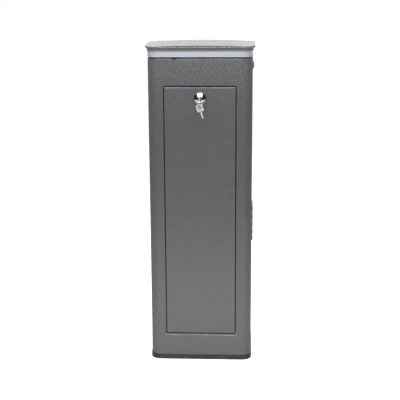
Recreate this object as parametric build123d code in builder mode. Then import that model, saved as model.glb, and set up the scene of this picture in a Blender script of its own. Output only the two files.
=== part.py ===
"""Boom barrier drive cabinet: a folded steel housing with a lift-off door, a crowned lid over a
light band, and the lifting mechanism, balance springs and controls that it holds.

Right-handed frame in millimetres. The origin is on the floor, midway between the four anchor
holes. The door faces -Y, the boom plate +Y, and the lane is on the +X side.
"""

from build123d import *
from math import cos, radians, sin
import os

os.makedirs("parts", exist_ok=True)

# Clearances
slip = 0.3
running = 0.05

# Housing, folded from sheet
cabinet_width = 320.0
cabinet_depth = 280.0
corner_radius = 30.0
sheet = 2.0
housing_height = 948.0
housing_flange = 12.0
housing_foot = 24.0
top_edge_round = 1.6

# Plinth ring and base plate
plinth_height = 16.0
plinth_proud = 2.0
plinth_bar = 16.0
plinth_ledge = 10.0
plinth_ledge_height = 8.0
plinth_edge_round = 1.5
base_thickness = 8.0
cable_slot_y = -20.0
cable_slot_width = 140.0
cable_slot_depth = 100.0
cable_slot_radius = 12.0
anchor_inset_x = 60.0
anchor_inset_y = 50.0
anchor_hole_radius = 7.0

# Light band and its frame
band_gap = 2.6
band_height = 19.1
band_wall = 5.0
led_board = 1.2
led_board_height = 9.0
led_size = 4.0
led_pitch = 19.0
led_proud = 1.4
band_frame_recess = 3.0
band_frame_width = 48.0
band_frame_wall = 2.0
band_frame_gap = 15.0

# Lid
lid_skirt_height = 7.0
lid_skirt_proud = 2.2
lid_height = 24.0
lid_rim_proud = 6.8
lid_rim_chamfer = 2.0
lid_wall = 3.0
lid_recess = 9.5
lid_deep_recess = 16.5
lid_crown_x_radius = 3400.0
lid_crown_y_radius = 1250.0
lid_edge_round = 1.2
stud_radius = 4.0
stud_end_drop = 10.0
stud_boss_height = 9.0
stud_boss_radius = 9.0
nut_radius = 7.0
nut_thickness = 6.5
stud_inset = 34.0

# Door opening and door
door_side = 51.0
door_top_drop = 85.5
door_bottom = 89.5
door_gap = 2.5
door_corner_radius = 3.0
door_edge_round = 2.2
opening_edge_round = 1.0
door_return = 9.5
frame_depth = 14.0
lip_width = 12.0
seal_gap = 0.3
seal_inset = 1.0
seal_width = 9.0
hook_width = 26.0
hook_inset = 39.0
hook_drop = 16.0
hook_tail = 26.0
hook_behind_lip = 3.5
hook_over_lip = 0.6
stiffener_bottom = 160.0
stiffener_top_gap = 128.5
stiffener_width = 44.0
stiffener_depth = 11.0

# Lock, set in the door
lock_drop = 35.5
lock_flange_radius = 20.5
lock_flange_thickness = 1.6
lock_boss_radius = 12.0
lock_boss_height = 12.0
lock_dome_height = 6.0
lock_barrel_radius = 11.0
lock_nut_radius = 16.0
lock_nut_thickness = 4.0
plug_radius = 7.5
plug_proud = 1.0
plug_tail_side = 7.0
plug_tail_end = 1.5
cam_thickness = 2.4
cam_length = 34.0
cam_width = 15.0
cam_behind_lip = 0.6

# Keys and ring
key_thickness = 2.2
key_bow_width = 21.0
key_bow_length = 23.0
key_bow_round = 4.5
key_window_width = 8.0
key_window_height = 3.0
key_window_drop = 6.6
key_neck = 2.0
key_cuts = 4
key_cut_depths = (0.9, 1.5, 0.7, 1.2)
key_blade_width = 5.6
key_blade_length = 20.0
key_eye_width = 10.0
key_eye_height = 5.4
key_eye_inset = 7.0
keyway_clearance = 0.25
ring_radius = 9.0
ring_wire_radius = 0.8
ring_turn = 45.0
ring_lift = 2.0
spare_key_lift = 0.7
spare_key_lean = 17.0

# Side louvres
louvre_count = 5
louvre_pitch = 23.7
louvre_first_z = 475.0
louvre_length = 130.0
louvre_rise = 14.0
louvre_proud = 4.2
louvre_metal = 1.5

# Plugs in the housing
entry_plug_drop = 27.5
entry_plug_y = -40.0
entry_plug_radius = 12.5
entry_plug_rim = 1.5
entry_plug_dome = 3.2
entry_hole_radius = 9.0
corner_plug_z = 491.6
corner_plug_turn = 33.0
corner_plug_radius = 6.0
corner_plug_proud = 1.0
corner_hole_radius = 4.5
lid_notch_x = -77.0
lid_notch_width = 16.0
lid_notch_depth = 3.4

# Lifting mechanism
shaft_drop = 124.0
shaft_radius = 15.0
shaft_front_overhang = 20.0
plate_thickness = 8.0
bearing_depth = 28.0
bearing_flange = 12.0
bearing_wall_gap = 4.0
bearing_bolt_spacing = 116.0
bearing_end_radius = 14.0
bearing_hub_radius = 32.0
bearing_bolt_radius = 6.0
plate_spacing = 76.0
plate_rise = 75.0
plate_drop = 240.0
mechanism_side_gap = 50.0
pillar_radius = 8.0
pillar_inset_x = 15.0
pillar_inset_z = 25.0
rocker_share = 7 / 11
rocker_thickness = 16.0
rocker_hub_radius = 29.0
rocker_end_radius = 17.0
rocker_waist = 26.0
rocker_tail = 66.0
rocker_front_gap = 30.0
rocker_rest_angle = 45.0
rear_plate_window = 34.0
output_shaft_bite = 14.0
crank_drop = 160.0
crank_shaft_radius = 12.5
crank_hub_radius = 25.0
pin_radius = 6.0
pin_head_radius = 10.0
pin_shoulder_radius = 9.0
pin_head = 5.0
rod_gap = 3.0
rod_eye_thickness = 12.0
rod_eye_radius = 15.0
rod_tube_radius = 9.0
rod_thread_radius = 5.0
rod_eye_shank = 44.0
rod_thread_in_tube = 12.0
rod_nut_thickness = 6.0

# Gearmotor
gearbox_half_width = 58.0
gearbox_half_height = 60.0
gearbox_depth = 72.0
gearbox_bolt_inset = 10.0
gearbox_bolt_radius = 4.0
gearbox_cover_radius = 42.0
worm_offset = 20.0
motor_radius = 34.0
motor_length = 122.0
motor_flange = 8.0
motor_cap_length = 24.0
motor_box_height = 52.0
motor_box_width = 44.0
motor_box_depth = 24.0

# Balance rope and springs
sheave_share = 6 / 11
rope_radius = 2.5
sheave_thickness = 14.0
sheave_lip = 6.0
sheave_hole_radius = 9.0
sheave_hole_share = 0.6
sheave_front_gap = 10.0
yoke_drop = 350.0
yoke_width = 66.0
yoke_height = 24.0
yoke_thickness = 6.0
yoke_hole_inset = 7.0
yoke_hole_radius = 3.6
spring_spread = 38.0
spring_coil_radius = 12.0
spring_wire_radius = 2.4
spring_turns = 12
spring_loop_radius = 9.0
spring_loop_neck = 16.0
anchor_bar_z = 150.0
anchor_bar_thickness = 6.0
anchor_bar_depth = 44.0
anchor_tab = 34.0
anchor_screw_reach = 12.0
eyebolt_radius = 4.0
eyebolt_wire = 3.0
eyebolt_eye_radius = 8.0
eyebolt_eye_z = 192.0
eyebolt_tail_z = 110.0

# Uprights
upright_metal = 4.0
upright_foot = 20.0
upright_window_radius = 20.0
upright_windows = 3
upright_window_pitch = 110.0
upright_window_first = 240.0
upright_top_gap = 34.0

# Stops and sensors
buffer_radius = 11.0
buffer_length = 14.0
buffer_gap = 0.4
buffer_at = 52.0
post_half = 8.0
cam_disc_radius = 30.0
cam_disc_thickness = 6.0
cam_disc_gap = 8.0
cam_flag_depth = 7.0
sensor_radius = 6.0
sensor_length = 50.0
sensor_air_gap = 2.0
sensor_nut = 4.0
sensor_bracket_inset = 34.0
sensor_bracket_metal = 3.0
sensor_bracket_height = 40.0

# Control equipment
tray_bottom = 190.0
tray_height = 250.0
tray_setback = 81.0
tray_overlap = 20.0
tray_screw_inset = 30.0
box_width = 176.0
box_height = 150.0
box_depth = 42.0
box_wall = 3.0
box_lid = 14.0
box_raise = 84.0
gland_radius = 8.0
gland_length = 14.0
gland_x = (0.0, 32.0, 64.0)
rail_height = 35.0
rail_depth = 7.5
rail_raise = 36.0
rail_length = 200.0
terminal_count = 8
terminal_pitch = 8.2
terminal_height = 44.0
terminal_depth = 38.0
breaker_width = 36.0
breaker_height = 68.0
breaker_depth = 44.0
breaker_nose = 8.0
breaker_x = -62.0
terminal_first_x = 20.0
toggle_reach = 7.0
toggle_width = 14.0
toggle_rest = 30.0

# Screws
screw_radius = 3.0
screw_head_radius = 5.0
screw_head = 4.0
frame_screw_length = 16.0
base_screw_length = 11.0
base_screw_y = 60.0
foot_screw_inset = 14.0
hole_clearance = 0.3

# Boom fixing outside the rear wall
rear_hole_gap = 2.0
hub_gap = 6.0
hub_boss_radius = 30.0
hub_length = 32.0
hub_flange_radius = 52.0
hub_flange_thickness = 12.0
boom_plate_width = 96.0
boom_plate_height = 190.0
boom_plate_thickness = 8.0
boom_plate_radius = 8.0
boom_hole_spacing_x = 66.0
boom_hole_spacing_z = 160.0
boom_hole_radius = 5.5
hub_bolt_circle = 78.0
hub_bolt_radius = 4.0
hub_bolt_head_radius = 7.0

# Places that follow from the sizes
housing_top = plinth_height + housing_height
anchor_spacing_x = cabinet_width - 2 * anchor_inset_x
anchor_spacing_y = cabinet_depth - 2 * anchor_inset_y
front_y = -cabinet_depth / 2
rear_y = cabinet_depth / 2
band_bottom = housing_top + band_gap
band_top = band_bottom + band_height
lid_bottom = band_top + slip
lid_rim_bottom = lid_bottom + lid_skirt_height
lid_crest = lid_bottom + lid_height
door_height = housing_top - door_top_drop - door_bottom
door_mid_z = door_bottom + door_height / 2
door_top = door_bottom + door_height
door_width = cabinet_width - 2 * door_side
opening_width = door_width + 2 * door_gap
opening_height = door_height + 2 * door_gap
lock_z = door_top - lock_drop
stiffener_height = door_top - stiffener_top_gap - stiffener_bottom
entry_plug_z = housing_top - entry_plug_drop
plate_half_width = cabinet_width / 2 - mechanism_side_gap
rocker_radius = plate_half_width * rocker_share
sheave_rope_radius = plate_half_width * sheave_share
sheave_hole_at = sheave_rope_radius * sheave_hole_share
sensor_bracket_x = plate_half_width - sensor_bracket_inset
lip_front_y = front_y + frame_depth - sheet
lip_rear_y = front_y + frame_depth
shaft_z = housing_top - shaft_drop
crank_z = shaft_z - crank_drop
yoke_rest_z = shaft_z - yoke_drop
rear_wall_inside = rear_y - sheet
rear_bearing_y = rear_wall_inside - bearing_wall_gap - bearing_depth
rear_plate_y = rear_bearing_y - plate_thickness
front_plate_rear_y = rear_plate_y - plate_spacing
front_plate_y = front_plate_rear_y - plate_thickness
front_bearing_y = front_plate_y - bearing_depth
rocker_y = front_plate_rear_y + rocker_front_gap
rod_y = rocker_y + rocker_thickness + rod_gap
rod_mid_y = rod_y + rod_eye_thickness / 2
pin_end_y = rod_y + rod_eye_thickness + slip
sheave_y = front_plate_rear_y + sheave_front_gap
rope_y = sheave_y + sheave_thickness / 2
pin_x = rocker_radius * cos(radians(rocker_rest_angle))
pin_z = rocker_radius * sin(radians(rocker_rest_angle))
base_half_x = cabinet_width / 2 + plinth_proud - plinth_bar - slip
base_half_y = cabinet_depth / 2 + plinth_proud - plinth_bar - slip
base_screw_x = base_half_x - plinth_ledge / 2
plate_bottom = shaft_z - plate_drop
plate_top = shaft_z + plate_rise
pillar_x = plate_half_width - pillar_inset_x
foot_screw_x = plate_half_width + upright_metal + upright_foot / 2
foot_screw_y = (front_plate_y + foot_screw_inset, (rear_plate_y + plate_thickness) - foot_screw_inset)
corner_plug_x = cabinet_width / 2 - corner_radius + corner_radius * sin(radians(corner_plug_turn))
corner_plug_y = front_y + corner_radius - corner_radius * cos(radians(corner_plug_turn))
corner_plug_place = Location((corner_plug_x, corner_plug_y, corner_plug_z), (0, 0, corner_plug_turn))
corner_plug_place *= Location((0, 0, 0), (90, 0, 0))
stud_x = cabinet_width / 2 - stud_inset
stud_y = cabinet_depth / 2 - stud_inset
stud_boss_z = lid_bottom + 1.5
upright_top = housing_top - upright_top_gap
upright_rear_y = rear_plate_y + plate_thickness
gearbox_y = front_plate_y - gearbox_depth
gearbox_mid_y = front_plate_y - gearbox_depth / 2
tray_y = front_y + tray_setback
box_y = tray_y - box_depth
box_bottom = tray_bottom + box_raise
rail_z = tray_bottom + rail_raise
rail_y = tray_y - rail_depth
hub_y = rear_y + hub_gap
hub_end_y = hub_y + hub_length
plug_face_y = front_y - lock_boss_height - plug_proud
key_hole_y = plug_face_y - key_neck - key_bow_length + key_eye_inset
ring_z = lock_z - ring_lift - ring_radius
spare_hole_z = ring_z - ring_radius - spare_key_lift
spring_z = eyebolt_eye_z + eyebolt_eye_radius - eyebolt_wire - slip - spring_wire_radius
yoke_hole_z = yoke_rest_z + yoke_hole_inset
upright_mid_y = (front_plate_y + upright_rear_y) / 2
upright_window_z = [upright_window_first + i * upright_window_pitch for i in range(upright_windows)]
output_shaft_y = front_plate_y - output_shaft_bite
bearing_bolt_x = (-bearing_bolt_spacing / 2, bearing_bolt_spacing / 2)
bearing_bolt_places = [
    Location((x, front_plate_y - bearing_flange, shaft_z), (90, 0, 0))
    for x in bearing_bolt_x
]
bearing_bolt_places += [
    Location((x, upright_rear_y + bearing_flange, shaft_z), (-90, 0, 0))
    for x in bearing_bolt_x
]
gearbox_bolt_x = gearbox_half_width - gearbox_bolt_inset
gearbox_bolt_z = gearbox_half_height - gearbox_bolt_inset
gearbox_bolt_xz = [(x * gearbox_bolt_x, crank_z + z * gearbox_bolt_z) for x in (-1, 1) for z in (-1, 1)]
pillar_xz = [
    (x * pillar_x, z)
    for x in (-1, 1)
    for z in (plate_bottom + pillar_inset_z, plate_top - pillar_inset_z)
]
plate_edge_z = (plate_bottom + 2 * pillar_inset_z, shaft_z - 2 * pillar_inset_z)
tray_half = plate_half_width + upright_metal + sheet
tray_screw_y = front_plate_y + tray_overlap / 2
tray_screw_z = (tray_bottom + tray_screw_inset, tray_bottom + tray_height - tray_screw_inset)
anchor_screw_z = anchor_bar_z - anchor_tab / 2
anchor_screw_y = (rope_y - anchor_screw_reach, rope_y + anchor_screw_reach)
side_screw_places = [
    (y + plate_thickness / 2, z)
    for y in (front_plate_y, rear_plate_y)
    for z in plate_edge_z
]
side_screw_places += [(y, anchor_screw_z) for y in anchor_screw_y]
hub_bolt_xz = [
    (x * hub_bolt_circle / 8**0.5, shaft_z + z * hub_bolt_circle / 8**0.5)
    for x in (-1, 1)
    for z in (-1, 1)
]


def wall_plane(y):
    """A plane square to Y at the given y, seen from the door side, with local axes X and Z."""
    return Plane.XZ.offset(-y)


def crowned_block(width, depth, radius, bottom, crest, bevel=0):
    """A rounded block whose top is a shallow crown, curved across and from front to back."""
    half_turn = 4.0
    axis_z = crest - lid_crown_x_radius
    tilt = radians(half_turn)
    start = Plane(origin=(0, 0, axis_z), x_dir=(0, 1, 0), z_dir=(cos(tilt), 0, sin(tilt)))
    drop = depth**2 / (8 * lid_crown_y_radius)
    low = lid_crown_x_radius - 4 * lid_height
    with BuildPart() as block:
        with BuildSketch(Plane.XY.offset(bottom)):
            RectangleRounded(width, depth, radius)
        extrude(amount=crest - bottom)
        if bevel:
            chamfer(block.faces().sort_by(Axis.Z)[0].edges(), bevel)
        with BuildSketch(start):
            with BuildLine():
                crown = ThreePointArc(
                    (-depth / 2, lid_crown_x_radius - drop),
                    (0, lid_crown_x_radius),
                    (depth / 2, lid_crown_x_radius - drop),
                )
                Polyline(crown @ 1, (depth / 2, low), (-depth / 2, low), crown @ 0)
            make_face()
        revolve(axis=Axis((0, 0, axis_z), (0, 1, 0)), revolution_arc=2 * half_turn, mode=Mode.INTERSECT)
    return block.part


def cap_screw(length):
    """A low socket-head screw along +Z, its head's underside at the origin."""
    with BuildPart() as screw:
        Cylinder(screw_radius, length, align=(Align.CENTER, Align.CENTER, Align.MAX))
        Cylinder(screw_head_radius, screw_head, align=(Align.CENTER, Align.CENTER, Align.MIN))
        with BuildSketch(Plane.XY.offset(screw_head)):
            RegularPolygon(screw_radius * 0.8, 6)
        extrude(amount=-screw_head * 0.6, mode=Mode.SUBTRACT)
    return screw.part


def hex_bolt(radius, length, head_radius, head):
    """A hexagon bolt along Z, its head's underside at the origin and its shank below."""
    with BuildPart() as bolt:
        Cylinder(radius, length, align=(Align.CENTER, Align.CENTER, Align.MAX))
        with BuildSketch():
            RegularPolygon(head_radius, 6)
        extrude(amount=head)
    return bolt.part


def hex_block(across, height):
    """A hexagonal block that stands on the XY plane."""
    with BuildPart() as block:
        with BuildSketch():
            RegularPolygon(across, 6)
        extrude(amount=height)
    return block.part


def hex_nut(radius, across, thickness):
    """A hexagon nut on the XY plane, with a running bore."""
    with BuildPart() as nut:
        with BuildSketch():
            RegularPolygon(across, 6)
            Circle(radius + running, mode=Mode.SUBTRACT)
        extrude(amount=thickness)
    return nut.part


def key_blank():
    """A flat key along -Z below its bow, with its ring hole at the origin and its face to -Y."""
    bow_mid = key_eye_inset - key_bow_length / 2
    blade_top = key_eye_inset - key_bow_length
    with BuildPart() as key:
        with BuildSketch(Plane.XZ.offset(-key_thickness / 2)):
            with Locations((0, bow_mid)):
                RectangleRounded(key_bow_width, key_bow_length, key_bow_round)
            with Locations((0, blade_top)):
                Rectangle(key_blade_width, key_blade_length + key_neck, align=(Align.CENTER, Align.MAX))
            SlotOverall(key_eye_width, key_eye_height, mode=Mode.SUBTRACT)
            with Locations((0, -key_window_drop)):
                SlotOverall(key_window_width, key_window_height, mode=Mode.SUBTRACT)
            for step in range(key_cuts):
                notch_z = blade_top - key_neck - (step + 1) * key_blade_length / (key_cuts + 1)
                with Locations((key_blade_width / 2, notch_z)):
                    Rectangle(key_cut_depths[step] * 2, 2.4, mode=Mode.SUBTRACT)
        extrude(amount=key_thickness)
    return key.part


# Plinth: the black ring that the housing stands on, with a ledge over the base plate's rim
with BuildPart() as plinth:
    with BuildSketch():
        RectangleRounded(
            cabinet_width + 2 * plinth_proud,
            cabinet_depth + 2 * plinth_proud,
            corner_radius + plinth_proud,
        )
    extrude(amount=plinth_height)
    chamfer(plinth.faces().sort_by(Axis.Z)[-1].edges(), plinth_edge_round)
    with BuildSketch():
        RectangleRounded(
            2 * (base_half_x + slip), 2 * (base_half_y + slip), corner_radius + plinth_proud - plinth_bar
        )
    extrude(amount=plinth_height - plinth_ledge_height, mode=Mode.SUBTRACT)
    with BuildSketch():
        RectangleRounded(
            2 * (base_half_x - plinth_ledge),
            2 * (base_half_y - plinth_ledge),
            corner_radius + plinth_proud - plinth_bar - plinth_ledge,
        )
    extrude(amount=plinth_height, mode=Mode.SUBTRACT)
    with Locations(*[(x * base_screw_x, y * base_screw_y, 0) for x in (-1, 1) for y in (-1, 1)]):
        Cylinder(screw_radius + hole_clearance, 3 * plinth_height, mode=Mode.SUBTRACT)
plinth.part.label = "plinth"
export_step(plinth.part, "parts/plinth.step")

# Base plate: anchored to the floor, with a slot for the ground cables
with BuildPart() as base_plate:
    with BuildSketch():
        RectangleRounded(2 * base_half_x, 2 * base_half_y, corner_radius + plinth_proud - plinth_bar - slip)
        with Locations((0, cable_slot_y)):
            RectangleRounded(cable_slot_width, cable_slot_depth, cable_slot_radius, mode=Mode.SUBTRACT)
        with GridLocations(anchor_spacing_x, anchor_spacing_y, 2, 2):
            Circle(anchor_hole_radius, mode=Mode.SUBTRACT)
        with Locations(*[(x * base_screw_x, y * base_screw_y) for x in (-1, 1) for y in (-1, 1)]):
            Circle(screw_radius + hole_clearance, mode=Mode.SUBTRACT)
        with Locations(*[(x * foot_screw_x, y) for x in (-1, 1) for y in foot_screw_y]):
            Circle(screw_radius + hole_clearance, mode=Mode.SUBTRACT)
    extrude(amount=base_thickness)
base_plate.part.label = "base_plate"
export_step(base_plate.part, "parts/base_plate.step")

# Housing: a folded shell with a foot flange, a top flange, a framed door opening and louvres
with BuildPart() as housing:
    with BuildSketch(Plane.XY.offset(plinth_height)):
        RectangleRounded(cabinet_width, cabinet_depth, corner_radius)
    extrude(amount=housing_height)
    fillet(housing.faces().sort_by(Axis.Z)[-1].edges(), top_edge_round)
    with BuildSketch(Plane.XY.offset(plinth_height + sheet)):
        RectangleRounded(cabinet_width - 2 * sheet, cabinet_depth - 2 * sheet, corner_radius - sheet)
    extrude(amount=housing_height - 2 * sheet, mode=Mode.SUBTRACT)
    with BuildSketch(Plane.XY.offset(plinth_height)):
        RectangleRounded(
            cabinet_width - 2 * sheet - 2 * housing_foot,
            cabinet_depth - 2 * sheet - 2 * housing_foot,
            corner_radius - housing_foot,
        )
    extrude(amount=sheet, mode=Mode.SUBTRACT)
    with BuildSketch(Plane.XY.offset(housing_top - sheet)):
        RectangleRounded(
            cabinet_width - 2 * sheet - 2 * housing_flange,
            cabinet_depth - 2 * sheet - 2 * housing_flange,
            corner_radius - housing_flange,
        )
    extrude(amount=sheet, mode=Mode.SUBTRACT)
    with Locations(
        *[(x * base_screw_x, y * base_screw_y, plinth_height) for x in (-1, 1) for y in (-1, 1)]
    ):
        Cylinder(screw_radius + hole_clearance, 3 * sheet, mode=Mode.SUBTRACT)
    with BuildSketch(wall_plane(lip_rear_y)):
        with Locations((0, door_mid_z)):
            RectangleRounded(
                opening_width + 2 * sheet,
                opening_height + 2 * sheet,
                door_corner_radius + door_gap + sheet,
            )
    extrude(amount=frame_depth - sheet / 2)
    with BuildSketch(wall_plane(lip_front_y)):
        with Locations((0, door_mid_z)):
            RectangleRounded(opening_width, opening_height, door_corner_radius + door_gap)
    extrude(amount=2 * frame_depth, mode=Mode.SUBTRACT)
    with BuildSketch(wall_plane(lip_rear_y)):
        with Locations((0, door_mid_z)):
            Rectangle(opening_width - 2 * lip_width, opening_height - 2 * lip_width)
    extrude(amount=2 * frame_depth, mode=Mode.SUBTRACT)
    opening_edges = housing.edges().filter_by_position(Axis.Y, front_y - slip, front_y + slip)
    opening_edges = opening_edges.filter_by_position(
        Axis.X,
        -opening_width / 2 - slip,
        opening_width / 2 + slip,
    )
    opening_edges = opening_edges.filter_by_position(
        Axis.Z,
        door_bottom - 2 * door_gap,
        door_top + 2 * door_gap,
    )
    fillet(opening_edges, opening_edge_round)
    with Locations((lid_notch_x, front_y, housing_top)):
        Box(lid_notch_width, 4 * sheet, 2 * lid_notch_depth, mode=Mode.SUBTRACT)
    for row in range(louvre_count):
        low_z = louvre_first_z - row * louvre_pitch
        high_z = low_z + louvre_rise
        wall_x = cabinet_width / 2
        with BuildSketch(Plane.XZ.offset(-louvre_length / 2)):
            with BuildLine():
                Polyline(
                    (wall_x - sheet, high_z),
                    (wall_x, high_z),
                    (wall_x + louvre_proud, low_z + 2 * louvre_metal),
                    (wall_x + louvre_proud, low_z),
                    (wall_x - sheet, low_z),
                    close=True,
                )
            make_face()
        extrude(amount=louvre_length)
        with BuildSketch(Plane.XZ.offset(-louvre_length / 2 + louvre_metal)):
            with BuildLine():
                Polyline(
                    (wall_x - 2 * sheet, high_z - 2 * louvre_metal),
                    (wall_x - sheet / 3, high_z - 2 * louvre_metal),
                    (wall_x + louvre_proud - louvre_metal, low_z + louvre_metal),
                    (wall_x + louvre_proud - louvre_metal, low_z - 1),
                    (wall_x, low_z - 1),
                    (wall_x, low_z),
                    (wall_x - 2 * sheet, low_z),
                    close=True,
                )
            make_face()
        extrude(amount=louvre_length - 2 * louvre_metal, mode=Mode.SUBTRACT)
    with Locations(Location((cabinet_width / 2, entry_plug_y, entry_plug_z), (0, 90, 0))):
        Cylinder(entry_hole_radius, 4 * sheet, mode=Mode.SUBTRACT)
    with Locations(corner_plug_place):
        Cylinder(corner_hole_radius, 8 * sheet, mode=Mode.SUBTRACT)
    with Locations(Location((0, rear_y, shaft_z), (90, 0, 0))):
        Cylinder(shaft_radius + rear_hole_gap, 4 * sheet, mode=Mode.SUBTRACT)
housing.part.label = "housing"
export_step(housing.part, "parts/housing.step")

# Base screws: hold the housing's foot and the uprights' feet
base_screw_places = [
    Location((x * base_screw_x, y * base_screw_y, plinth_height + sheet))
    for x in (-1, 1)
    for y in (-1, 1)
]
foot_screw_places = [
    Location((x * foot_screw_x, y, base_thickness + upright_metal))
    for x in (-1, 1)
    for y in foot_screw_y
]
with BuildPart() as base_screws:
    with Locations(*base_screw_places, *foot_screw_places):
        add(cap_screw(base_screw_length))
base_screws.part.label = "base_screws"
export_step(base_screws.part, "parts/base_screws.step")

# Light frame: carries the light band and the lid, and leaves the shadow gap below the band
with BuildPart() as light_frame:
    with BuildSketch(Plane.XY.offset(housing_top)):
        RectangleRounded(
            cabinet_width - 2 * band_frame_recess,
            cabinet_depth - 2 * band_frame_recess,
            corner_radius - band_frame_recess,
        )
        Rectangle(
            cabinet_width - 2 * band_frame_width,
            cabinet_depth - 2 * band_frame_width,
            mode=Mode.SUBTRACT,
        )
    extrude(amount=band_gap)
    with BuildSketch(Plane.XY.offset(band_bottom)):
        RectangleRounded(
            cabinet_width - 2 * band_frame_gap,
            cabinet_depth - 2 * band_frame_gap,
            corner_radius - band_frame_gap,
        )
        RectangleRounded(
            cabinet_width - 2 * band_frame_gap - 2 * band_frame_wall,
            cabinet_depth - 2 * band_frame_gap - 2 * band_frame_wall,
            corner_radius - band_frame_gap - band_frame_wall,
            mode=Mode.SUBTRACT,
        )
    extrude(amount=band_height)
    with Locations(*[(x * stud_x, y * stud_y, housing_top) for x in (-1, 1) for y in (-1, 1)]):
        Cylinder(stud_radius + hole_clearance, 4 * band_gap, mode=Mode.SUBTRACT)
light_frame.part.label = "light_frame"
export_step(light_frame.part, "parts/light_frame.step")

# Light band: the pale diffuser ring
with BuildPart() as light_band:
    with BuildSketch(Plane.XY.offset(band_bottom)):
        RectangleRounded(cabinet_width, cabinet_depth, corner_radius)
        RectangleRounded(
            cabinet_width - 2 * band_wall,
            cabinet_depth - 2 * band_wall,
            corner_radius - band_wall,
            mode=Mode.SUBTRACT,
        )
    extrude(amount=band_height)
light_band.part.label = "light_band"
export_step(light_band.part, "parts/light_band.step")

# LED boards: one on each straight side of the light frame
led_wall_x = cabinet_width / 2 - band_frame_gap
led_wall_y = cabinet_depth / 2 - band_frame_gap
led_mid_z = band_bottom + band_height / 2
led_runs = (
    (0, led_wall_y, cabinet_width),
    (90, led_wall_x, cabinet_depth),
    (180, led_wall_y, cabinet_width),
    (270, led_wall_x, cabinet_depth),
)
with BuildPart() as led_boards:
    for turn, reach, span in led_runs:
        run = span - 2 * corner_radius - 2 * led_pitch
        lamps = int(run / led_pitch)
        with Locations(Location((0, 0, led_mid_z), (0, 0, turn))):
            with Locations((0, -reach - led_board / 2, 0)):
                Box(run, led_board, led_board_height)
            with Locations((0, -reach - led_board - led_proud / 2, 0)):
                with GridLocations(led_pitch, 1, lamps, 1):
                    Box(led_size, led_proud, led_size)
led_boards.part.label = "led_boards"
export_step(led_boards.part, "parts/led_boards.step")

# Lid: a narrow skirt under a wider crowned rim, with a welded stud under each boss
with BuildPart() as lid:
    with BuildSketch(Plane.XY.offset(lid_bottom)):
        RectangleRounded(
            cabinet_width + 2 * lid_skirt_proud,
            cabinet_depth + 2 * lid_skirt_proud,
            corner_radius + lid_skirt_proud,
        )
    extrude(amount=lid_skirt_height)
    add(
        crowned_block(
            cabinet_width + 2 * lid_rim_proud,
            cabinet_depth + 2 * lid_rim_proud,
            corner_radius + lid_rim_proud,
            lid_rim_bottom,
            lid_crest,
            lid_rim_chamfer,
        )
    )
    with BuildSketch(Plane.XY.offset(lid_bottom)):
        RectangleRounded(
            cabinet_width + 2 * lid_skirt_proud - 2 * lid_wall,
            cabinet_depth + 2 * lid_skirt_proud - 2 * lid_wall,
            corner_radius + lid_skirt_proud - lid_wall,
        )
    extrude(amount=lid_recess, mode=Mode.SUBTRACT)
    with BuildSketch(Plane.XY.offset(lid_bottom)):
        RectangleRounded(
            2 * stud_x - 2 * stud_boss_radius,
            2 * stud_y - 2 * stud_boss_radius,
            corner_radius,
        )
    extrude(amount=lid_deep_recess, mode=Mode.SUBTRACT)
    with BuildSketch(Plane.XY.offset(stud_boss_z)):
        with GridLocations(2 * stud_x, 2 * stud_y, 2, 2):
            Circle(stud_boss_radius)
    extrude(amount=stud_boss_height)
    with BuildSketch(Plane.XY.offset(housing_top - stud_end_drop)):
        with GridLocations(2 * stud_x, 2 * stud_y, 2, 2):
            Circle(stud_radius)
    extrude(amount=stud_boss_z - housing_top + stud_end_drop)
lid.part.label = "lid"
export_step(lid.part, "parts/lid.step")

# Nuts: under the light frame for the lid, and above and below the anchor bar for the eyebolts
spring_x = (-sheave_rope_radius - spring_spread / 2, -sheave_rope_radius + spring_spread / 2)
with BuildPart() as frame_nuts:
    with Locations(
        *[(x * stud_x, y * stud_y, housing_top - nut_thickness) for x in (-1, 1) for y in (-1, 1)]
    ):
        add(hex_nut(stud_radius, nut_radius, nut_thickness))
    for nut_z in (anchor_bar_z + anchor_bar_thickness, anchor_bar_z - nut_thickness):
        with Locations(*[(x, rope_y, nut_z) for x in spring_x]):
            add(hex_nut(eyebolt_radius, nut_radius, nut_thickness))
frame_nuts.part.label = "frame_nuts"
export_step(frame_nuts.part, "parts/frame_nuts.step")

# Door seal: a rubber ring on the opening's lip, under the edge of the door
seal_thickness = frame_depth - sheet - door_return - seal_gap
with BuildPart() as door_seal:
    with BuildSketch(wall_plane(lip_front_y)):
        with Locations((0, door_mid_z)):
            RectangleRounded(
                opening_width - 2 * seal_inset,
                opening_height - 2 * seal_inset,
                door_corner_radius + door_gap,
            )
            Rectangle(
                opening_width - 2 * seal_inset - 2 * seal_width,
                opening_height - 2 * seal_inset - 2 * seal_width,
                mode=Mode.SUBTRACT,
            )
    extrude(amount=seal_thickness)
door_seal.part.label = "door_seal"
export_step(door_seal.part, "parts/door_seal.step")

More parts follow.
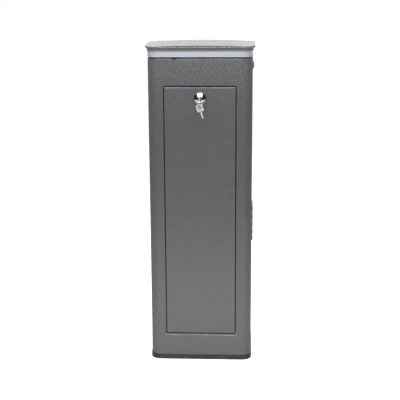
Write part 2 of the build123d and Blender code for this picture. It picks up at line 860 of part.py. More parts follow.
# Door panel: a shallow pan with returned edges, and two welded hooks that drop behind the lower lip
hook_top_z = door_bottom - door_gap + lip_width + sheet + hook_over_lip
hook_y = lip_rear_y + hook_behind_lip
with BuildPart() as door_panel:
    with BuildSketch(wall_plane(front_y + door_return)):
        with Locations((0, door_mid_z)):
            RectangleRounded(door_width, door_height, door_corner_radius)
    extrude(amount=door_return)
    fillet(door_panel.faces().sort_by(Axis.Y)[0].edges(), door_edge_round)
    with BuildSketch(wall_plane(front_y + door_return)):
        with Locations((0, door_mid_z)):
            Rectangle(door_width - 2 * sheet, door_height - 2 * sheet)
    extrude(amount=door_return - sheet, mode=Mode.SUBTRACT)
    with Locations(Location((0, front_y, lock_z), (90, 0, 0))):
        Cylinder(lock_barrel_radius + hole_clearance, 4 * sheet, mode=Mode.SUBTRACT)
    for side in (-1, 1):
        with BuildSketch(Plane.YZ.offset(side * (door_width / 2 - hook_inset) - hook_width / 2)):
            with BuildLine():
                Polyline(
                    (front_y + sheet, hook_top_z - sheet),
                    (hook_y, hook_top_z - sheet),
                    (hook_y, hook_top_z - hook_drop),
                    (hook_y + sheet, hook_top_z - hook_drop),
                    (hook_y + sheet, hook_top_z),
                    (front_y + 2 * sheet, hook_top_z),
                    (front_y + 2 * sheet, hook_top_z + hook_tail),
                    (front_y + sheet, hook_top_z + hook_tail),
                    close=True,
                )
            make_face()
        extrude(amount=hook_width)
door_panel.part.label = "door_panel"
export_step(door_panel.part, "parts/door_panel.step")

# Door stiffener: a long channel on the inner face
with BuildPart() as door_stiffener:
    with BuildSketch(Plane.XY.offset(stiffener_bottom)):
        with Locations((0, front_y + sheet)):
            Rectangle(stiffener_width, stiffener_depth, align=(Align.CENTER, Align.MIN))
            Rectangle(
                stiffener_width - 2 * sheet,
                stiffener_depth - sheet,
                align=(Align.CENTER, Align.MIN),
                mode=Mode.SUBTRACT,
            )
    extrude(amount=stiffener_height)
door_stiffener.part.label = "door_stiffener"
export_step(door_stiffener.part, "parts/door_stiffener.step")

# Lock barrel: a chrome boss rising from a domed flange, and the barrel behind it
cam_y = lip_rear_y + cam_behind_lip
with BuildPart() as lock_barrel:
    with BuildSketch(Plane.YZ):
        with BuildLine():
            Polyline(
                (front_y, lock_barrel_radius + 2),
                (front_y, lock_flange_radius),
                (front_y - lock_flange_thickness, lock_flange_radius),
            )
            ThreePointArc(
                (front_y - lock_flange_thickness, lock_flange_radius),
                (front_y - lock_dome_height * 0.72, (lock_flange_radius + lock_boss_radius) / 2 + 1.4),
                (front_y - lock_dome_height, lock_boss_radius),
            )
            Polyline(
                (front_y - lock_dome_height, lock_boss_radius),
                (front_y - lock_boss_height + 1.5, lock_boss_radius),
                (front_y - lock_boss_height, lock_boss_radius - 1.5),
                (front_y - lock_boss_height, plug_radius + running),
                (cam_y - slip, plug_radius + running),
                (cam_y - slip, lock_barrel_radius),
                (front_y, lock_barrel_radius),
                (front_y, lock_barrel_radius + 2),
            )
        make_face()
    revolve(axis=Axis.Y)
    lock_barrel_solid = lock_barrel.part.moved(Location((0, 0, lock_z)))
lock_barrel_solid.label = "lock_barrel"
export_step(lock_barrel_solid, "parts/lock_barrel.step")

# Lock nut: a hexagon behind the door
with BuildPart() as lock_nut:
    with BuildSketch(wall_plane(front_y + sheet + lock_nut_thickness)):
        with Locations((0, lock_z)):
            RegularPolygon(lock_nut_radius, 6)
            Circle(lock_barrel_radius + running, mode=Mode.SUBTRACT)
    extrude(amount=lock_nut_thickness)
lock_nut.part.label = "lock_nut"
export_step(lock_nut.part, "parts/lock_nut.step")

# Lock plug: turns in the barrel, with the keyway, and a square tail for the cam
with BuildPart() as lock_plug:
    with BuildSketch(wall_plane(cam_y)):
        with Locations((0, lock_z)):
            Circle(plug_radius)
    extrude(amount=cam_y - plug_face_y)
    with BuildSketch(wall_plane(plug_face_y)):
        with Locations((0, lock_z)):
            Rectangle(key_thickness + 2 * keyway_clearance, key_blade_width + 2 * keyway_clearance)
    extrude(amount=-(key_blade_length + keyway_clearance), mode=Mode.SUBTRACT)
    with BuildSketch(wall_plane(cam_y + cam_thickness + plug_tail_end)):
        with Locations((0, lock_z)):
            Rectangle(plug_tail_side, plug_tail_side)
    extrude(amount=cam_thickness + plug_tail_end)
lock_plug.part.label = "lock_plug"
export_step(lock_plug.part, "parts/lock_plug.step")

# Lock cam: drawn unlocked; a quarter turn takes it up behind the opening's upper lip
with BuildPart() as lock_cam:
    with BuildSketch(wall_plane(cam_y + cam_thickness)):
        with Locations((0, lock_z)):
            Circle(cam_width / 2 + 2)
            Rectangle(cam_length, cam_width, align=(Align.MAX, Align.CENTER))
            Rectangle(plug_tail_side + 2 * running, plug_tail_side + 2 * running, mode=Mode.SUBTRACT)
    extrude(amount=cam_thickness)
lock_cam.part.label = "lock_cam"
export_step(lock_cam.part, "parts/lock_cam.step")

# Key: in the lock, so that its bow is seen edge on
key_in_lock = key_blank().moved(Location((0, 0, 0), (90, 0, 0))).moved(Location((0, 0, 0), (0, 90, 0)))
key_in_lock = key_in_lock.moved(Location((0, key_hole_y, lock_z)))
key_in_lock.label = "key"
export_step(key_in_lock, "parts/key.step")

# Key ring: hangs through both bows, turned between them
with BuildPart() as key_ring:
    with Locations(Location((0, key_hole_y, ring_z), (0, 0, ring_turn)) * Location((0, 0, 0), (90, 0, 0))):
        Torus(ring_radius, ring_wire_radius)
key_ring.part.label = "key_ring"
export_step(key_ring.part, "parts/key_ring.step")

# Spare key: hangs from the ring, facing forward
spare_key = key_blank().moved(Location((0, 0, 0), (0, -spare_key_lean, 0)))
spare_key = spare_key.moved(Location((0, key_hole_y, spare_hole_z)))
spare_key.label = "spare_key"
export_step(spare_key, "parts/spare_key.step")

# Entry plug: a domed cap in the right side wall
with BuildPart() as entry_plug:
    with Locations(Location((cabinet_width / 2, entry_plug_y, entry_plug_z), (0, 90, 0))):
        Cylinder(entry_plug_radius, entry_plug_rim, align=(Align.CENTER, Align.CENTER, Align.MIN))
        Cylinder(entry_hole_radius - slip, sheet + 4, align=(Align.CENTER, Align.CENTER, Align.MAX))
        with Locations((0, 0, entry_plug_rim)):
            Cone(
                entry_plug_radius,
                entry_plug_radius * 0.55,
                entry_plug_dome,
                align=(Align.CENTER, Align.CENTER, Align.MIN),
            )
entry_plug.part.label = "entry_plug"
export_step(entry_plug.part, "parts/entry_plug.step")

# Corner plug: a small dark button in the rounded right front corner
with BuildPart() as corner_plug:
    with Locations(corner_plug_place):
        Cylinder(corner_plug_radius, corner_plug_radius, align=(Align.CENTER, Align.CENTER, Align.CENTER))
        with Locations((0, 0, corner_plug_proud)):
            Cylinder(
                2 * corner_plug_radius,
                corner_plug_radius,
                align=(Align.CENTER, Align.CENTER, Align.MIN),
                mode=Mode.SUBTRACT,
            )
    with Locations((cabinet_width / 2 - corner_radius, front_y + corner_radius, corner_plug_z)):
        Cylinder(corner_radius + slip, 4 * corner_plug_radius, mode=Mode.SUBTRACT)
    with Locations(corner_plug_place):
        Cylinder(corner_hole_radius - slip, sheet + 5, align=(Align.CENTER, Align.CENTER, Align.MAX))
        Cylinder(
            corner_hole_radius - slip,
            corner_plug_proud,
            align=(Align.CENTER, Align.CENTER, Align.MIN),
        )
corner_plug.part.label = "corner_plug"
export_step(corner_plug.part, "parts/corner_plug.step")

# Uprights: two side plates on feet, which carry the whole mechanism
with BuildPart() as uprights:
    for side in (-1, 1):
        inner_x = side * plate_half_width
        with Locations(
            (
                (side * (plate_half_width + upright_metal / 2)),
                (front_plate_y + upright_rear_y) / 2,
                base_thickness,
            )
        ):
            Box(
                upright_metal,
                upright_rear_y - front_plate_y,
                upright_top - base_thickness,
                align=(Align.CENTER, Align.CENTER, Align.MIN),
            )
        with Locations(
            (
                side * (plate_half_width + upright_metal + upright_foot / 2),
                (front_plate_y + upright_rear_y) / 2,
                base_thickness,
            )
        ):
            Box(
                upright_foot,
                upright_rear_y - front_plate_y,
                upright_metal,
                align=(Align.CENTER, Align.CENTER, Align.MIN),
            )
        with Locations(*[(side * foot_screw_x, y, base_thickness) for y in foot_screw_y]):
            Cylinder(screw_radius + hole_clearance, 4 * upright_metal, mode=Mode.SUBTRACT)
        with Locations(*[Location((inner_x, y, z), (0, 90, 0)) for y, z in side_screw_places]):
            Cylinder(screw_radius + hole_clearance, 4 * upright_metal, mode=Mode.SUBTRACT)
        with Locations(*[Location((inner_x, tray_screw_y, z), (0, 90, 0)) for z in tray_screw_z]):
            Cylinder(screw_radius + hole_clearance, 4 * upright_metal, mode=Mode.SUBTRACT)
        with Locations(*[Location((inner_x, upright_mid_y, z), (0, 90, 0)) for z in upright_window_z]):
            Cylinder(upright_window_radius, 4 * upright_metal, mode=Mode.SUBTRACT)
uprights.part.label = "uprights"
export_step(uprights.part, "parts/uprights.step")

# Front mechanism plate: carries the front bearing and the gearmotor
with BuildPart() as front_plate:
    with BuildSketch(wall_plane(front_plate_rear_y)):
        with Locations((0, (plate_bottom + plate_top) / 2)):
            Rectangle(2 * plate_half_width, plate_top - plate_bottom)
        with Locations((0, shaft_z)):
            Circle(shaft_radius + 2, mode=Mode.SUBTRACT)
        with Locations((0, crank_z)):
            Circle(crank_shaft_radius + 2, mode=Mode.SUBTRACT)
        with Locations(*[(x, shaft_z) for x in bearing_bolt_x]):
            Circle(bearing_bolt_radius + hole_clearance, mode=Mode.SUBTRACT)
        with Locations(*gearbox_bolt_xz):
            Circle(gearbox_bolt_radius + hole_clearance, mode=Mode.SUBTRACT)
        with Locations(*pillar_xz):
            Circle(screw_radius + hole_clearance, mode=Mode.SUBTRACT)
    extrude(amount=plate_thickness)
    with Locations(
        *[
            Location((side * plate_half_width, front_plate_y + plate_thickness / 2, z), (0, 90, 0))
            for side in (-1, 1)
            for z in plate_edge_z
        ]
    ):
        Cylinder(screw_radius + running, 2 * frame_screw_length, mode=Mode.SUBTRACT)
front_plate.part.label = "front_plate"
export_step(front_plate.part, "parts/front_plate.step")

# Rear mechanism plate: carries the rear bearing and the stop posts
with BuildPart() as rear_plate:
    with BuildSketch(wall_plane(rear_plate_y + plate_thickness)):
        with Locations((0, (plate_bottom + plate_top) / 2)):
            Rectangle(2 * plate_half_width, plate_top - plate_bottom)
        with Locations((0, shaft_z)):
            Circle(shaft_radius + 2, mode=Mode.SUBTRACT)
        with Locations((0, crank_z)):
            Circle(rear_plate_window, mode=Mode.SUBTRACT)
        with Locations(*[(x, shaft_z) for x in bearing_bolt_x]):
            Circle(bearing_bolt_radius + hole_clearance, mode=Mode.SUBTRACT)
        with Locations(*pillar_xz):
            Circle(screw_radius + hole_clearance, mode=Mode.SUBTRACT)
    extrude(amount=plate_thickness)
    with Locations(
        *[
            Location((side * plate_half_width, rear_plate_y + plate_thickness / 2, z), (0, 90, 0))
            for side in (-1, 1)
            for z in plate_edge_z
        ]
    ):
        Cylinder(screw_radius + running, 2 * frame_screw_length, mode=Mode.SUBTRACT)
rear_plate.part.label = "rear_plate"
export_step(rear_plate.part, "parts/rear_plate.step")

# Pillars: hold the two plates apart
with BuildPart() as pillars:
    for x, z in pillar_xz:
        with Locations(Location((x, (front_plate_rear_y + rear_plate_y) / 2, z), (90, 0, 0))):
            Cylinder(pillar_radius, plate_spacing)
            Cylinder(screw_radius + running, 3 * plate_spacing, mode=Mode.SUBTRACT)
pillars.part.label = "pillars"
export_step(pillars.part, "parts/pillars.step")

# Frame screws: through the plates into the pillars, and through the uprights and tray sides
with BuildPart() as frame_screws:
    for x, z in pillar_xz:
        with Locations(
            Location((x, front_plate_y, z), (90, 0, 0)),
            Location((x, upright_rear_y, z), (-90, 0, 0)),
        ):
            add(cap_screw(frame_screw_length))
    for side in (-1, 1):
        with Locations(
            *[
                Location((side * (plate_half_width + upright_metal), y, z), (0, side * 90, 0))
                for y, z in side_screw_places
            ]
        ):
            add(cap_screw(frame_screw_length))
        with Locations(
            *[Location((side * tray_half, tray_screw_y, z), (0, side * 90, 0)) for z in tray_screw_z]
        ):
            add(cap_screw(frame_screw_length))
frame_screws.part.label = "frame_screws"
export_step(frame_screws.part, "parts/frame_screws.step")

# Bearings: two-bolt flange units in front of the front plate and behind the rear plate
with BuildPart() as bearings:
    for flange_y, out in ((front_plate_y, -1), (upright_rear_y, 1)):
        near_y, far_y = sorted((flange_y, flange_y + out * bearing_flange))
        with BuildSketch(wall_plane(far_y)):
            with Locations((0, shaft_z)):
                SlotOverall(bearing_bolt_spacing + 2 * bearing_end_radius, 2 * bearing_end_radius)
                Circle(bearing_hub_radius + 4)
                Circle(shaft_radius + running, mode=Mode.SUBTRACT)
            with Locations(*[(x, shaft_z) for x in bearing_bolt_x]):
                Circle(bearing_bolt_radius + hole_clearance, mode=Mode.SUBTRACT)
        extrude(amount=bearing_flange)
        near_y, far_y = sorted((flange_y, flange_y + out * bearing_depth))
        with BuildSketch(wall_plane(far_y)):
            with Locations((0, shaft_z)):
                Circle(bearing_hub_radius)
                Circle(shaft_radius + running, mode=Mode.SUBTRACT)
        extrude(amount=bearing_depth)
bearings.part.label = "bearings"
export_step(bearings.part, "parts/bearings.step")

# Bearing bolts: each with its nut behind the plate
bearing_bolt_grip = bearing_flange + plate_thickness
with BuildPart() as bearing_bolts:
    for place in bearing_bolt_places:
        with Locations(place):
            add(hex_bolt(bearing_bolt_radius, bearing_bolt_grip + 8, 10, 7))
            with Locations((0, 0, -bearing_bolt_grip - 7)):
                add(hex_block(10, 7))
bearing_bolts.part.label = "bearing_bolts"
export_step(bearing_bolts.part, "parts/bearing_bolts.step")

# Main shaft: lifts the boom, and runs out through the rear wall
with BuildPart() as main_shaft:
    with BuildSketch(wall_plane(hub_end_y)):
        with Locations((0, shaft_z)):
            Circle(shaft_radius)
    extrude(amount=hub_end_y - front_bearing_y + shaft_front_overhang)
    chamfer(main_shaft.edges().filter_by(GeomType.CIRCLE), 1)
main_shaft.part.label = "main_shaft"
export_step(main_shaft.part, "parts/main_shaft.step")


def lever(middle_z, hub, bore, thickness, tail):
    """A lever on the given centre, with its headed pin at the rest angle and a tail opposite."""
    with BuildPart() as arm:
        with BuildSketch(wall_plane(rocker_y + thickness)):
            with Locations((0, middle_z)):
                Circle(hub)
            with Locations(Location((0, middle_z), rocker_rest_angle)):
                Rectangle(rocker_radius, rocker_waist, align=(Align.MIN, Align.CENTER))
                if tail:
                    Rectangle(tail, rocker_waist, align=(Align.MAX, Align.CENTER))
            with Locations((pin_x, middle_z + pin_z)):
                Circle(rocker_end_radius)
            with Locations((0, middle_z)):
                Circle(bore + running, mode=Mode.SUBTRACT)
        extrude(amount=thickness)
        with Locations(Location((pin_x, rocker_y + thickness, middle_z + pin_z), (-90, 0, 0))):
            Cylinder(pin_shoulder_radius, rod_gap - slip, align=(Align.CENTER, Align.CENTER, Align.MIN))
            Cylinder(
                pin_radius,
                pin_end_y - rocker_y - thickness,
                align=(Align.CENTER, Align.CENTER, Align.MIN),
            )
            with Locations((0, 0, pin_end_y - rocker_y - thickness)):
                Cylinder(pin_head_radius, pin_head, align=(Align.CENTER, Align.CENTER, Align.MIN))
    return arm.part


# Rocker: on the main shaft, with a tail that meets the stops
with BuildPart() as rocker:
    add(lever(shaft_z, rocker_hub_radius, shaft_radius, rocker_thickness, rocker_tail))
rocker.part.label = "rocker"
export_step(rocker.part, "parts/rocker.step")

# Crank: on the gearbox's output shaft, as long as the rocker
with BuildPart() as crank:
    add(lever(crank_z, crank_hub_radius, crank_shaft_radius, rocker_thickness, 0))
crank.part.label = "crank"
export_step(crank.part, "parts/crank.step")

# Output shaft: turns in the gearbox and carries the crank
with BuildPart() as output_shaft:
    with BuildSketch(wall_plane(rocker_y + rocker_thickness)):
        with Locations((0, crank_z)):
            Circle(crank_shaft_radius)
    extrude(amount=rocker_y + rocker_thickness - output_shaft_y)
output_shaft.part.label = "output_shaft"
export_step(output_shaft.part, "parts/output_shaft.step")

# Gearbox: a closed worm gearbox with a round front cover, bolted through the front plate
with BuildPart() as gearbox:
    with BuildSketch(wall_plane(front_plate_y)):
        with Locations((0, crank_z)):
            RectangleRounded(2 * gearbox_half_width, 2 * gearbox_half_height, 8)
    extrude(amount=gearbox_depth)
    with BuildSketch(wall_plane(gearbox_y)):
        with Locations((0, crank_z)):
            Circle(gearbox_cover_radius)
    extrude(amount=4)
    with BuildSketch(wall_plane(front_plate_y)):
        with Locations((0, crank_z)):
            Circle(crank_shaft_radius + running)
    extrude(amount=front_plate_y - output_shaft_y + slip, mode=Mode.SUBTRACT)
    with BuildSketch(wall_plane(front_plate_y)):
        with Locations(*gearbox_bolt_xz):
            Circle(gearbox_bolt_radius + hole_clearance)
    extrude(amount=2 * gearbox_depth, mode=Mode.SUBTRACT)
gearbox.part.label = "gearbox"
export_step(gearbox.part, "parts/gearbox.step")

# Gearbox bolts
with BuildPart() as gearbox_bolts:
    with Locations(*[Location((x, gearbox_y, z), (90, 0, 0)) for x, z in gearbox_bolt_xz]):
        add(hex_bolt(gearbox_bolt_radius, gearbox_depth + plate_thickness, 7, 5))
gearbox_bolts.part.label = "gearbox_bolts"
export_step(gearbox_bolts.part, "parts/gearbox_bolts.step")

# Motor: hangs under the gearbox on a square flange
motor_top = crank_z - gearbox_half_height
with BuildPart() as motor:
    with Locations((worm_offset, gearbox_mid_y, motor_top)):
        Box(2 * motor_radius, 2 * motor_radius, motor_flange, align=(Align.CENTER, Align.CENTER, Align.MAX))
        Cylinder(motor_radius - 1, motor_length, align=(Align.CENTER, Align.CENTER, Align.MAX))
        with Locations((0, 0, -motor_length)):
            Cylinder(motor_radius, motor_cap_length, align=(Align.CENTER, Align.CENTER, Align.MAX))
    with Locations((worm_offset - motor_radius, gearbox_mid_y, motor_top - motor_length * 0.45)):
        Box(motor_box_depth, motor_box_width, motor_box_height)
motor.part.label = "motor"
export_step(motor.part, "parts/motor.step")

# Tie rod: a tube between two screwed rod ends, as long as the gap between shaft and crank
rod_top = shaft_z + pin_z
rod_bottom = crank_z + pin_z
with BuildPart() as tie_rod:
    with Locations((pin_x, rod_mid_y, rod_bottom + rod_eye_shank - rod_thread_in_tube)):
        Cylinder(
            rod_tube_radius,
            rod_top - rod_bottom - 2 * (rod_eye_shank - rod_thread_in_tube),
            align=(Align.CENTER, Align.CENTER, Align.MIN),
        )
        Cylinder(rod_thread_radius + running, 3 * crank_drop, mode=Mode.SUBTRACT)
tie_rod.part.label = "tie_rod"
export_step(tie_rod.part, "parts/tie_rod.step")

# Rod ends: an eye on each pin and a threaded shank in the tube
with BuildPart() as rod_ends:
    for eye_z, toward in ((rod_top, -1), (rod_bottom, 1)):
        with BuildSketch(wall_plane(rod_y + rod_eye_thickness)):
            with Locations((pin_x, eye_z)):
                Circle(rod_eye_radius)
            with Locations((pin_x, eye_z + toward * rod_eye_radius / 2)):
                Rectangle(2 * rod_tube_radius, rod_eye_radius + 6)
            with Locations((pin_x, eye_z)):
                Circle(pin_radius + running, mode=Mode.SUBTRACT)
        extrude(amount=rod_eye_thickness)
        with Locations((pin_x, rod_mid_y, eye_z + toward * (rod_eye_radius + rod_eye_shank) / 2)):
            Cylinder(rod_thread_radius, rod_eye_shank - rod_eye_radius)
rod_ends.part.label = "rod_ends"
export_step(rod_ends.part, "parts/rod_ends.step")

# Rod nuts: lock each rod end against the tube
with BuildPart() as rod_nuts:
    with Locations(
        (pin_x, rod_mid_y, rod_bottom + rod_eye_shank - rod_thread_in_tube - rod_nut_thickness),
        (pin_x, rod_mid_y, rod_top - rod_eye_shank + rod_thread_in_tube),
    ):
        add(hex_nut(rod_thread_radius, 9, rod_nut_thickness))
rod_nuts.part.label = "rod_nuts"
export_step(rod_nuts.part, "parts/rod_nuts.step")

# Balance sheave: winds the rope as the boom comes down
with BuildPart() as sheave:
    with BuildSketch(Plane.YZ):
        with BuildLine():
            Polyline(
                (sheave_y, shaft_radius + running),
                (sheave_y, sheave_rope_radius + sheave_lip),
                (sheave_y + 2.5, sheave_rope_radius + sheave_lip),
                (rope_y - rope_radius - slip, sheave_rope_radius - rope_radius - slip),
                (rope_y + rope_radius + slip, sheave_rope_radius - rope_radius - slip),
                (sheave_y + sheave_thickness - 2.5, sheave_rope_radius + sheave_lip),
                (sheave_y + sheave_thickness, sheave_rope_radius + sheave_lip),
                (sheave_y + sheave_thickness, shaft_radius + running),
                close=True,
            )
        make_face()
    revolve(axis=Axis.Y)
    with Locations(
        *[
            Location(
                (sheave_hole_at * cos(radians(a)), rope_y, sheave_hole_at * sin(radians(a))),
                (90, 0, 0),
            )
            for a in range(0, 360, 60)
        ]
    ):
        Cylinder(sheave_hole_radius, 2 * sheave_thickness, mode=Mode.SUBTRACT)
sheave_solid = sheave.part.moved(Location((0, 0, shaft_z)))
sheave_solid.label = "sheave"
export_step(sheave_solid, "parts/sheave.step")

# Balance rope: hangs from the sheave to the spring yoke
with BuildPart() as rope:
    with Locations((-sheave_rope_radius, rope_y, yoke_rest_z + yoke_height)):
        Cylinder(
            rope_radius,
            shaft_z - yoke_rest_z - yoke_height,
            align=(Align.CENTER, Align.CENTER, Align.MIN),
        )
rope.part.label = "rope"
export_step(rope.part, "parts/rope.step")

# Spring yoke: a plate that joins the rope to both springs
with BuildPart() as spring_yoke:
    with BuildSketch(wall_plane(rope_y + yoke_thickness / 2)):
        with BuildLine():
            Polyline(
                (-sheave_rope_radius - yoke_width / 2, yoke_rest_z),
                (-sheave_rope_radius + yoke_width / 2, yoke_rest_z),
                (-sheave_rope_radius + yoke_width / 2, yoke_rest_z + yoke_height * 0.6),
                (-sheave_rope_radius + 9, yoke_rest_z + yoke_height),
                (-sheave_rope_radius - 9, yoke_rest_z + yoke_height),
                (-sheave_rope_radius - yoke_width / 2, yoke_rest_z + yoke_height * 0.6),
                close=True,
            )
        make_face()
        with Locations(*[(x, yoke_hole_z) for x in spring_x]):
            Circle(yoke_hole_radius, mode=Mode.SUBTRACT)
    extrude(amount=yoke_thickness)
spring_yoke.part.label = "spring_yoke"
export_step(spring_yoke.part, "parts/spring_yoke.step")

# Balance springs: close-wound coils between two loops
spring_top_z = yoke_hole_z + yoke_hole_radius - slip - spring_wire_radius
coil_bottom = spring_z + 2 * spring_loop_radius + spring_loop_neck
coil_top = spring_top_z - 2 * spring_loop_radius - spring_loop_neck
coil_pitch = (coil_top - coil_bottom) / spring_turns
coil_wall = 1.2 * spring_wire_radius
with BuildPart() as balance_springs:
    for x in spring_x:
        for loop_z, toward in ((spring_z, 1), (spring_top_z, -1)):
            with Locations(Location((x, rope_y, loop_z + toward * spring_loop_radius), (0, 90, 0))):
                Torus(spring_loop_radius, spring_wire_radius)
            with Locations((x, rope_y, loop_z + toward * (2 * spring_loop_radius + spring_loop_neck / 2))):
                Cylinder(spring_wire_radius, spring_loop_neck + 2)
        with BuildSketch(Plane.XZ.offset(-rope_y)):
            with BuildLine():
                points = [(x, coil_bottom + coil_wall), (x, coil_bottom)]
                for turn in range(spring_turns):
                    low = coil_bottom + turn * coil_pitch
                    points += [
                        (x + spring_coil_radius - spring_wire_radius, low),
                        (x + spring_coil_radius + spring_wire_radius, low + coil_pitch * 0.3),
                        (x + spring_coil_radius + spring_wire_radius, low + coil_pitch * 0.6),
                    ]
                points += [
                    (x + spring_coil_radius - spring_wire_radius, coil_top),
                    (x, coil_top),
                    (x, coil_top - coil_wall),
                    (x + spring_coil_radius - 2 * spring_wire_radius, coil_top - coil_wall),
                    (x + spring_coil_radius - 2 * spring_wire_radius, coil_bottom + coil_wall),
                ]
                Polyline(*points, close=True)
            make_face()
        revolve(axis=Axis((x, rope_y, 0), (0, 0, 1)))
balance_springs.part.label = "balance_springs"
export_step(balance_springs.part, "parts/balance_springs.step")

# Eyebolts: the adjusters at the springs' lower ends
with BuildPart() as eyebolts:
    for x in spring_x:
        with Locations(Location((x, rope_y, eyebolt_eye_z), (90, 0, 0))):
            Torus(eyebolt_eye_radius, eyebolt_wire)
        with Locations((x, rope_y, eyebolt_tail_z)):
            Cylinder(
                eyebolt_radius,
                eyebolt_eye_z - eyebolt_eye_radius - eyebolt_tail_z,
                align=(Align.CENTER, Align.CENTER, Align.MIN),
            )
eyebolts.part.label = "eyebolts"
export_step(eyebolts.part, "parts/eyebolts.step")

# Anchor bar: a cross bar with a tab down each upright
with BuildPart() as anchor_bar:
    with Locations((0, rope_y, anchor_bar_z)):
        Box(
            2 * plate_half_width,
            anchor_bar_depth,
            anchor_bar_thickness,
            align=(Align.CENTER, Align.CENTER, Align.MIN),
        )
    for side in (-1, 1):
        with Locations((side * plate_half_width, rope_y, anchor_bar_z)):
            Box(
                anchor_bar_thickness,
                anchor_bar_depth,
                anchor_tab,
                align=(Align.MAX if side > 0 else Align.MIN, Align.CENTER, Align.MAX),
            )
        with Locations(
            *[Location((side * plate_half_width, y, z), (0, 90, 0)) for y, z in side_screw_places]
        ):
            Cylinder(screw_radius + hole_clearance, 4 * anchor_bar_thickness, mode=Mode.SUBTRACT)
    with Locations(*[(x, rope_y, anchor_bar_z) for x in spring_x]):
        Cylinder(eyebolt_radius + hole_clearance, 4 * anchor_bar_thickness, mode=Mode.SUBTRACT)
anchor_bar.part.label = "anchor_bar"
export_step(anchor_bar.part, "parts/anchor_bar.step")

# Stops: a rubber pad at each end of the rocker's travel, square to its tail
stop_pads = BuildPart()
stop_posts = BuildPart()
for tail_angle, side in ((180 + rocker_rest_angle, 1), (90 + rocker_rest_angle, -1)):
    along = (cos(radians(tail_angle)), sin(radians(tail_angle)))
    out = (-side * along[1], side * along[0])
    face = rocker_waist / 2 + buffer_gap
    pad_at = [buffer_at * along[i] + (face + buffer_length / 2) * out[i] for i in (0, 1)]
    post_at = [buffer_at * along[i] + (face + buffer_length + post_half) * out[i] for i in (0, 1)]
    lean = 90 - (tail_angle + side * 90)
    with stop_pads:
        with Locations(
            Location((pad_at[0], rocker_y + rocker_thickness / 2, shaft_z + pad_at[1]), (0, lean, 0))
        ):
            Cylinder(buffer_radius, buffer_length)
    with stop_posts:
        with Locations(Location((post_at[0], rocker_y, shaft_z + post_at[1]), (0, lean, 0))):
            Box(
                2 * buffer_radius,
                rear_plate_y - rocker_y,
                2 * post_half,
                align=(Align.CENTER, Align.MIN, Align.CENTER),
            )
stop_pads.part.label = "stop_pads"
export_step(stop_pads.part, "parts/stop_pads.step")
stop_posts.part.label = "stop_posts"
export_step(stop_posts.part, "parts/stop_posts.step")

# Limit cam: a flagged disc on the shaft's front end
cam_disc_y = front_bearing_y - cam_disc_gap - cam_disc_thickness
with BuildPart() as limit_cam:
    with BuildSketch(wall_plane(cam_disc_y + cam_disc_thickness)):
        with Locations((0, shaft_z)):
            Circle(cam_disc_radius)
            Circle(shaft_radius + running, mode=Mode.SUBTRACT)
        with Locations(Location((0, shaft_z), 180)):
            with Locations((cam_disc_radius, 0)):
                Rectangle(2 * cam_flag_depth, 22, mode=Mode.SUBTRACT)
    extrude(amount=cam_disc_thickness)
limit_cam.part.label = "limit_cam"
export_step(limit_cam.part, "parts/limit_cam.step")

# Sensor brackets: an angle each side, off the front plate
cam_disc_mid_y = cam_disc_y + cam_disc_thickness / 2
bracket_front_y = cam_disc_mid_y - 12
with BuildPart() as sensor_brackets:
    for side in (-1, 1):
        with BuildSketch(Plane.XY.offset(shaft_z - sensor_bracket_height / 2)):
            with BuildLine():
                Polyline(
                    (side * sensor_bracket_x, bracket_front_y),
                    (side * (sensor_bracket_x + sensor_bracket_metal), bracket_front_y),
                    (
                        side * (sensor_bracket_x + sensor_bracket_metal),
                        front_plate_y - sensor_bracket_metal,
                    ),
                    (side * (plate_half_width - 6), front_plate_y - sensor_bracket_metal),
                    (side * (plate_half_width - 6), front_plate_y),
                    (side * sensor_bracket_x, front_plate_y),
                    close=True,
                )
            make_face()
        extrude(amount=sensor_bracket_height)
        with Locations(Location((side * sensor_bracket_x, cam_disc_mid_y, shaft_z), (0, 90, 0))):
            Cylinder(sensor_radius + hole_clearance, 4 * sensor_bracket_metal, mode=Mode.SUBTRACT)
sensor_brackets.part.label = "sensor_brackets"
export_step(sensor_brackets.part, "parts/sensor_brackets.step")

# Sensors: read the limit cam at both ends of the travel, each with its two nuts
bracket_reach = sensor_bracket_x - cam_disc_radius - sensor_air_gap
with BuildPart() as sensors:
    for side in (-1, 1):
        with Locations(
            Location(
                (side * (cam_disc_radius + sensor_air_gap), cam_disc_mid_y, shaft_z),
                (0, side * 90, 0),
            )
        ):
            Cylinder(sensor_radius, sensor_length, align=(Align.CENTER, Align.CENTER, Align.MIN))
            with Locations(
                (0, 0, bracket_reach - sensor_nut),
                (0, 0, bracket_reach + sensor_bracket_metal),
            ):
                add(hex_block(9.5, sensor_nut))
sensors.part.label = "sensors"
export_step(sensors.part, "parts/sensors.step")

# Control tray: a folded sheet whose sides lap the uprights
with BuildPart() as control_tray:
    with BuildSketch(Plane.XY.offset(tray_bottom)):
        with Locations((0, tray_y)):
            Rectangle(2 * tray_half, front_plate_y + tray_overlap - tray_y, align=(Align.CENTER, Align.MIN))
        with Locations((0, tray_y + sheet)):
            Rectangle(
                2 * tray_half - 2 * sheet,
                front_plate_y + tray_overlap - tray_y,
                align=(Align.CENTER, Align.MIN),
                mode=Mode.SUBTRACT,
            )
    extrude(amount=tray_height)
    for side in (-1, 1):
        with Locations(*[Location((side * tray_half, tray_screw_y, z), (0, 90, 0)) for z in tray_screw_z]):
            Cylinder(screw_radius + hole_clearance, 6 * sheet, mode=Mode.SUBTRACT)
control_tray.part.label = "control_tray"
export_step(control_tray.part, "parts/control_tray.step")

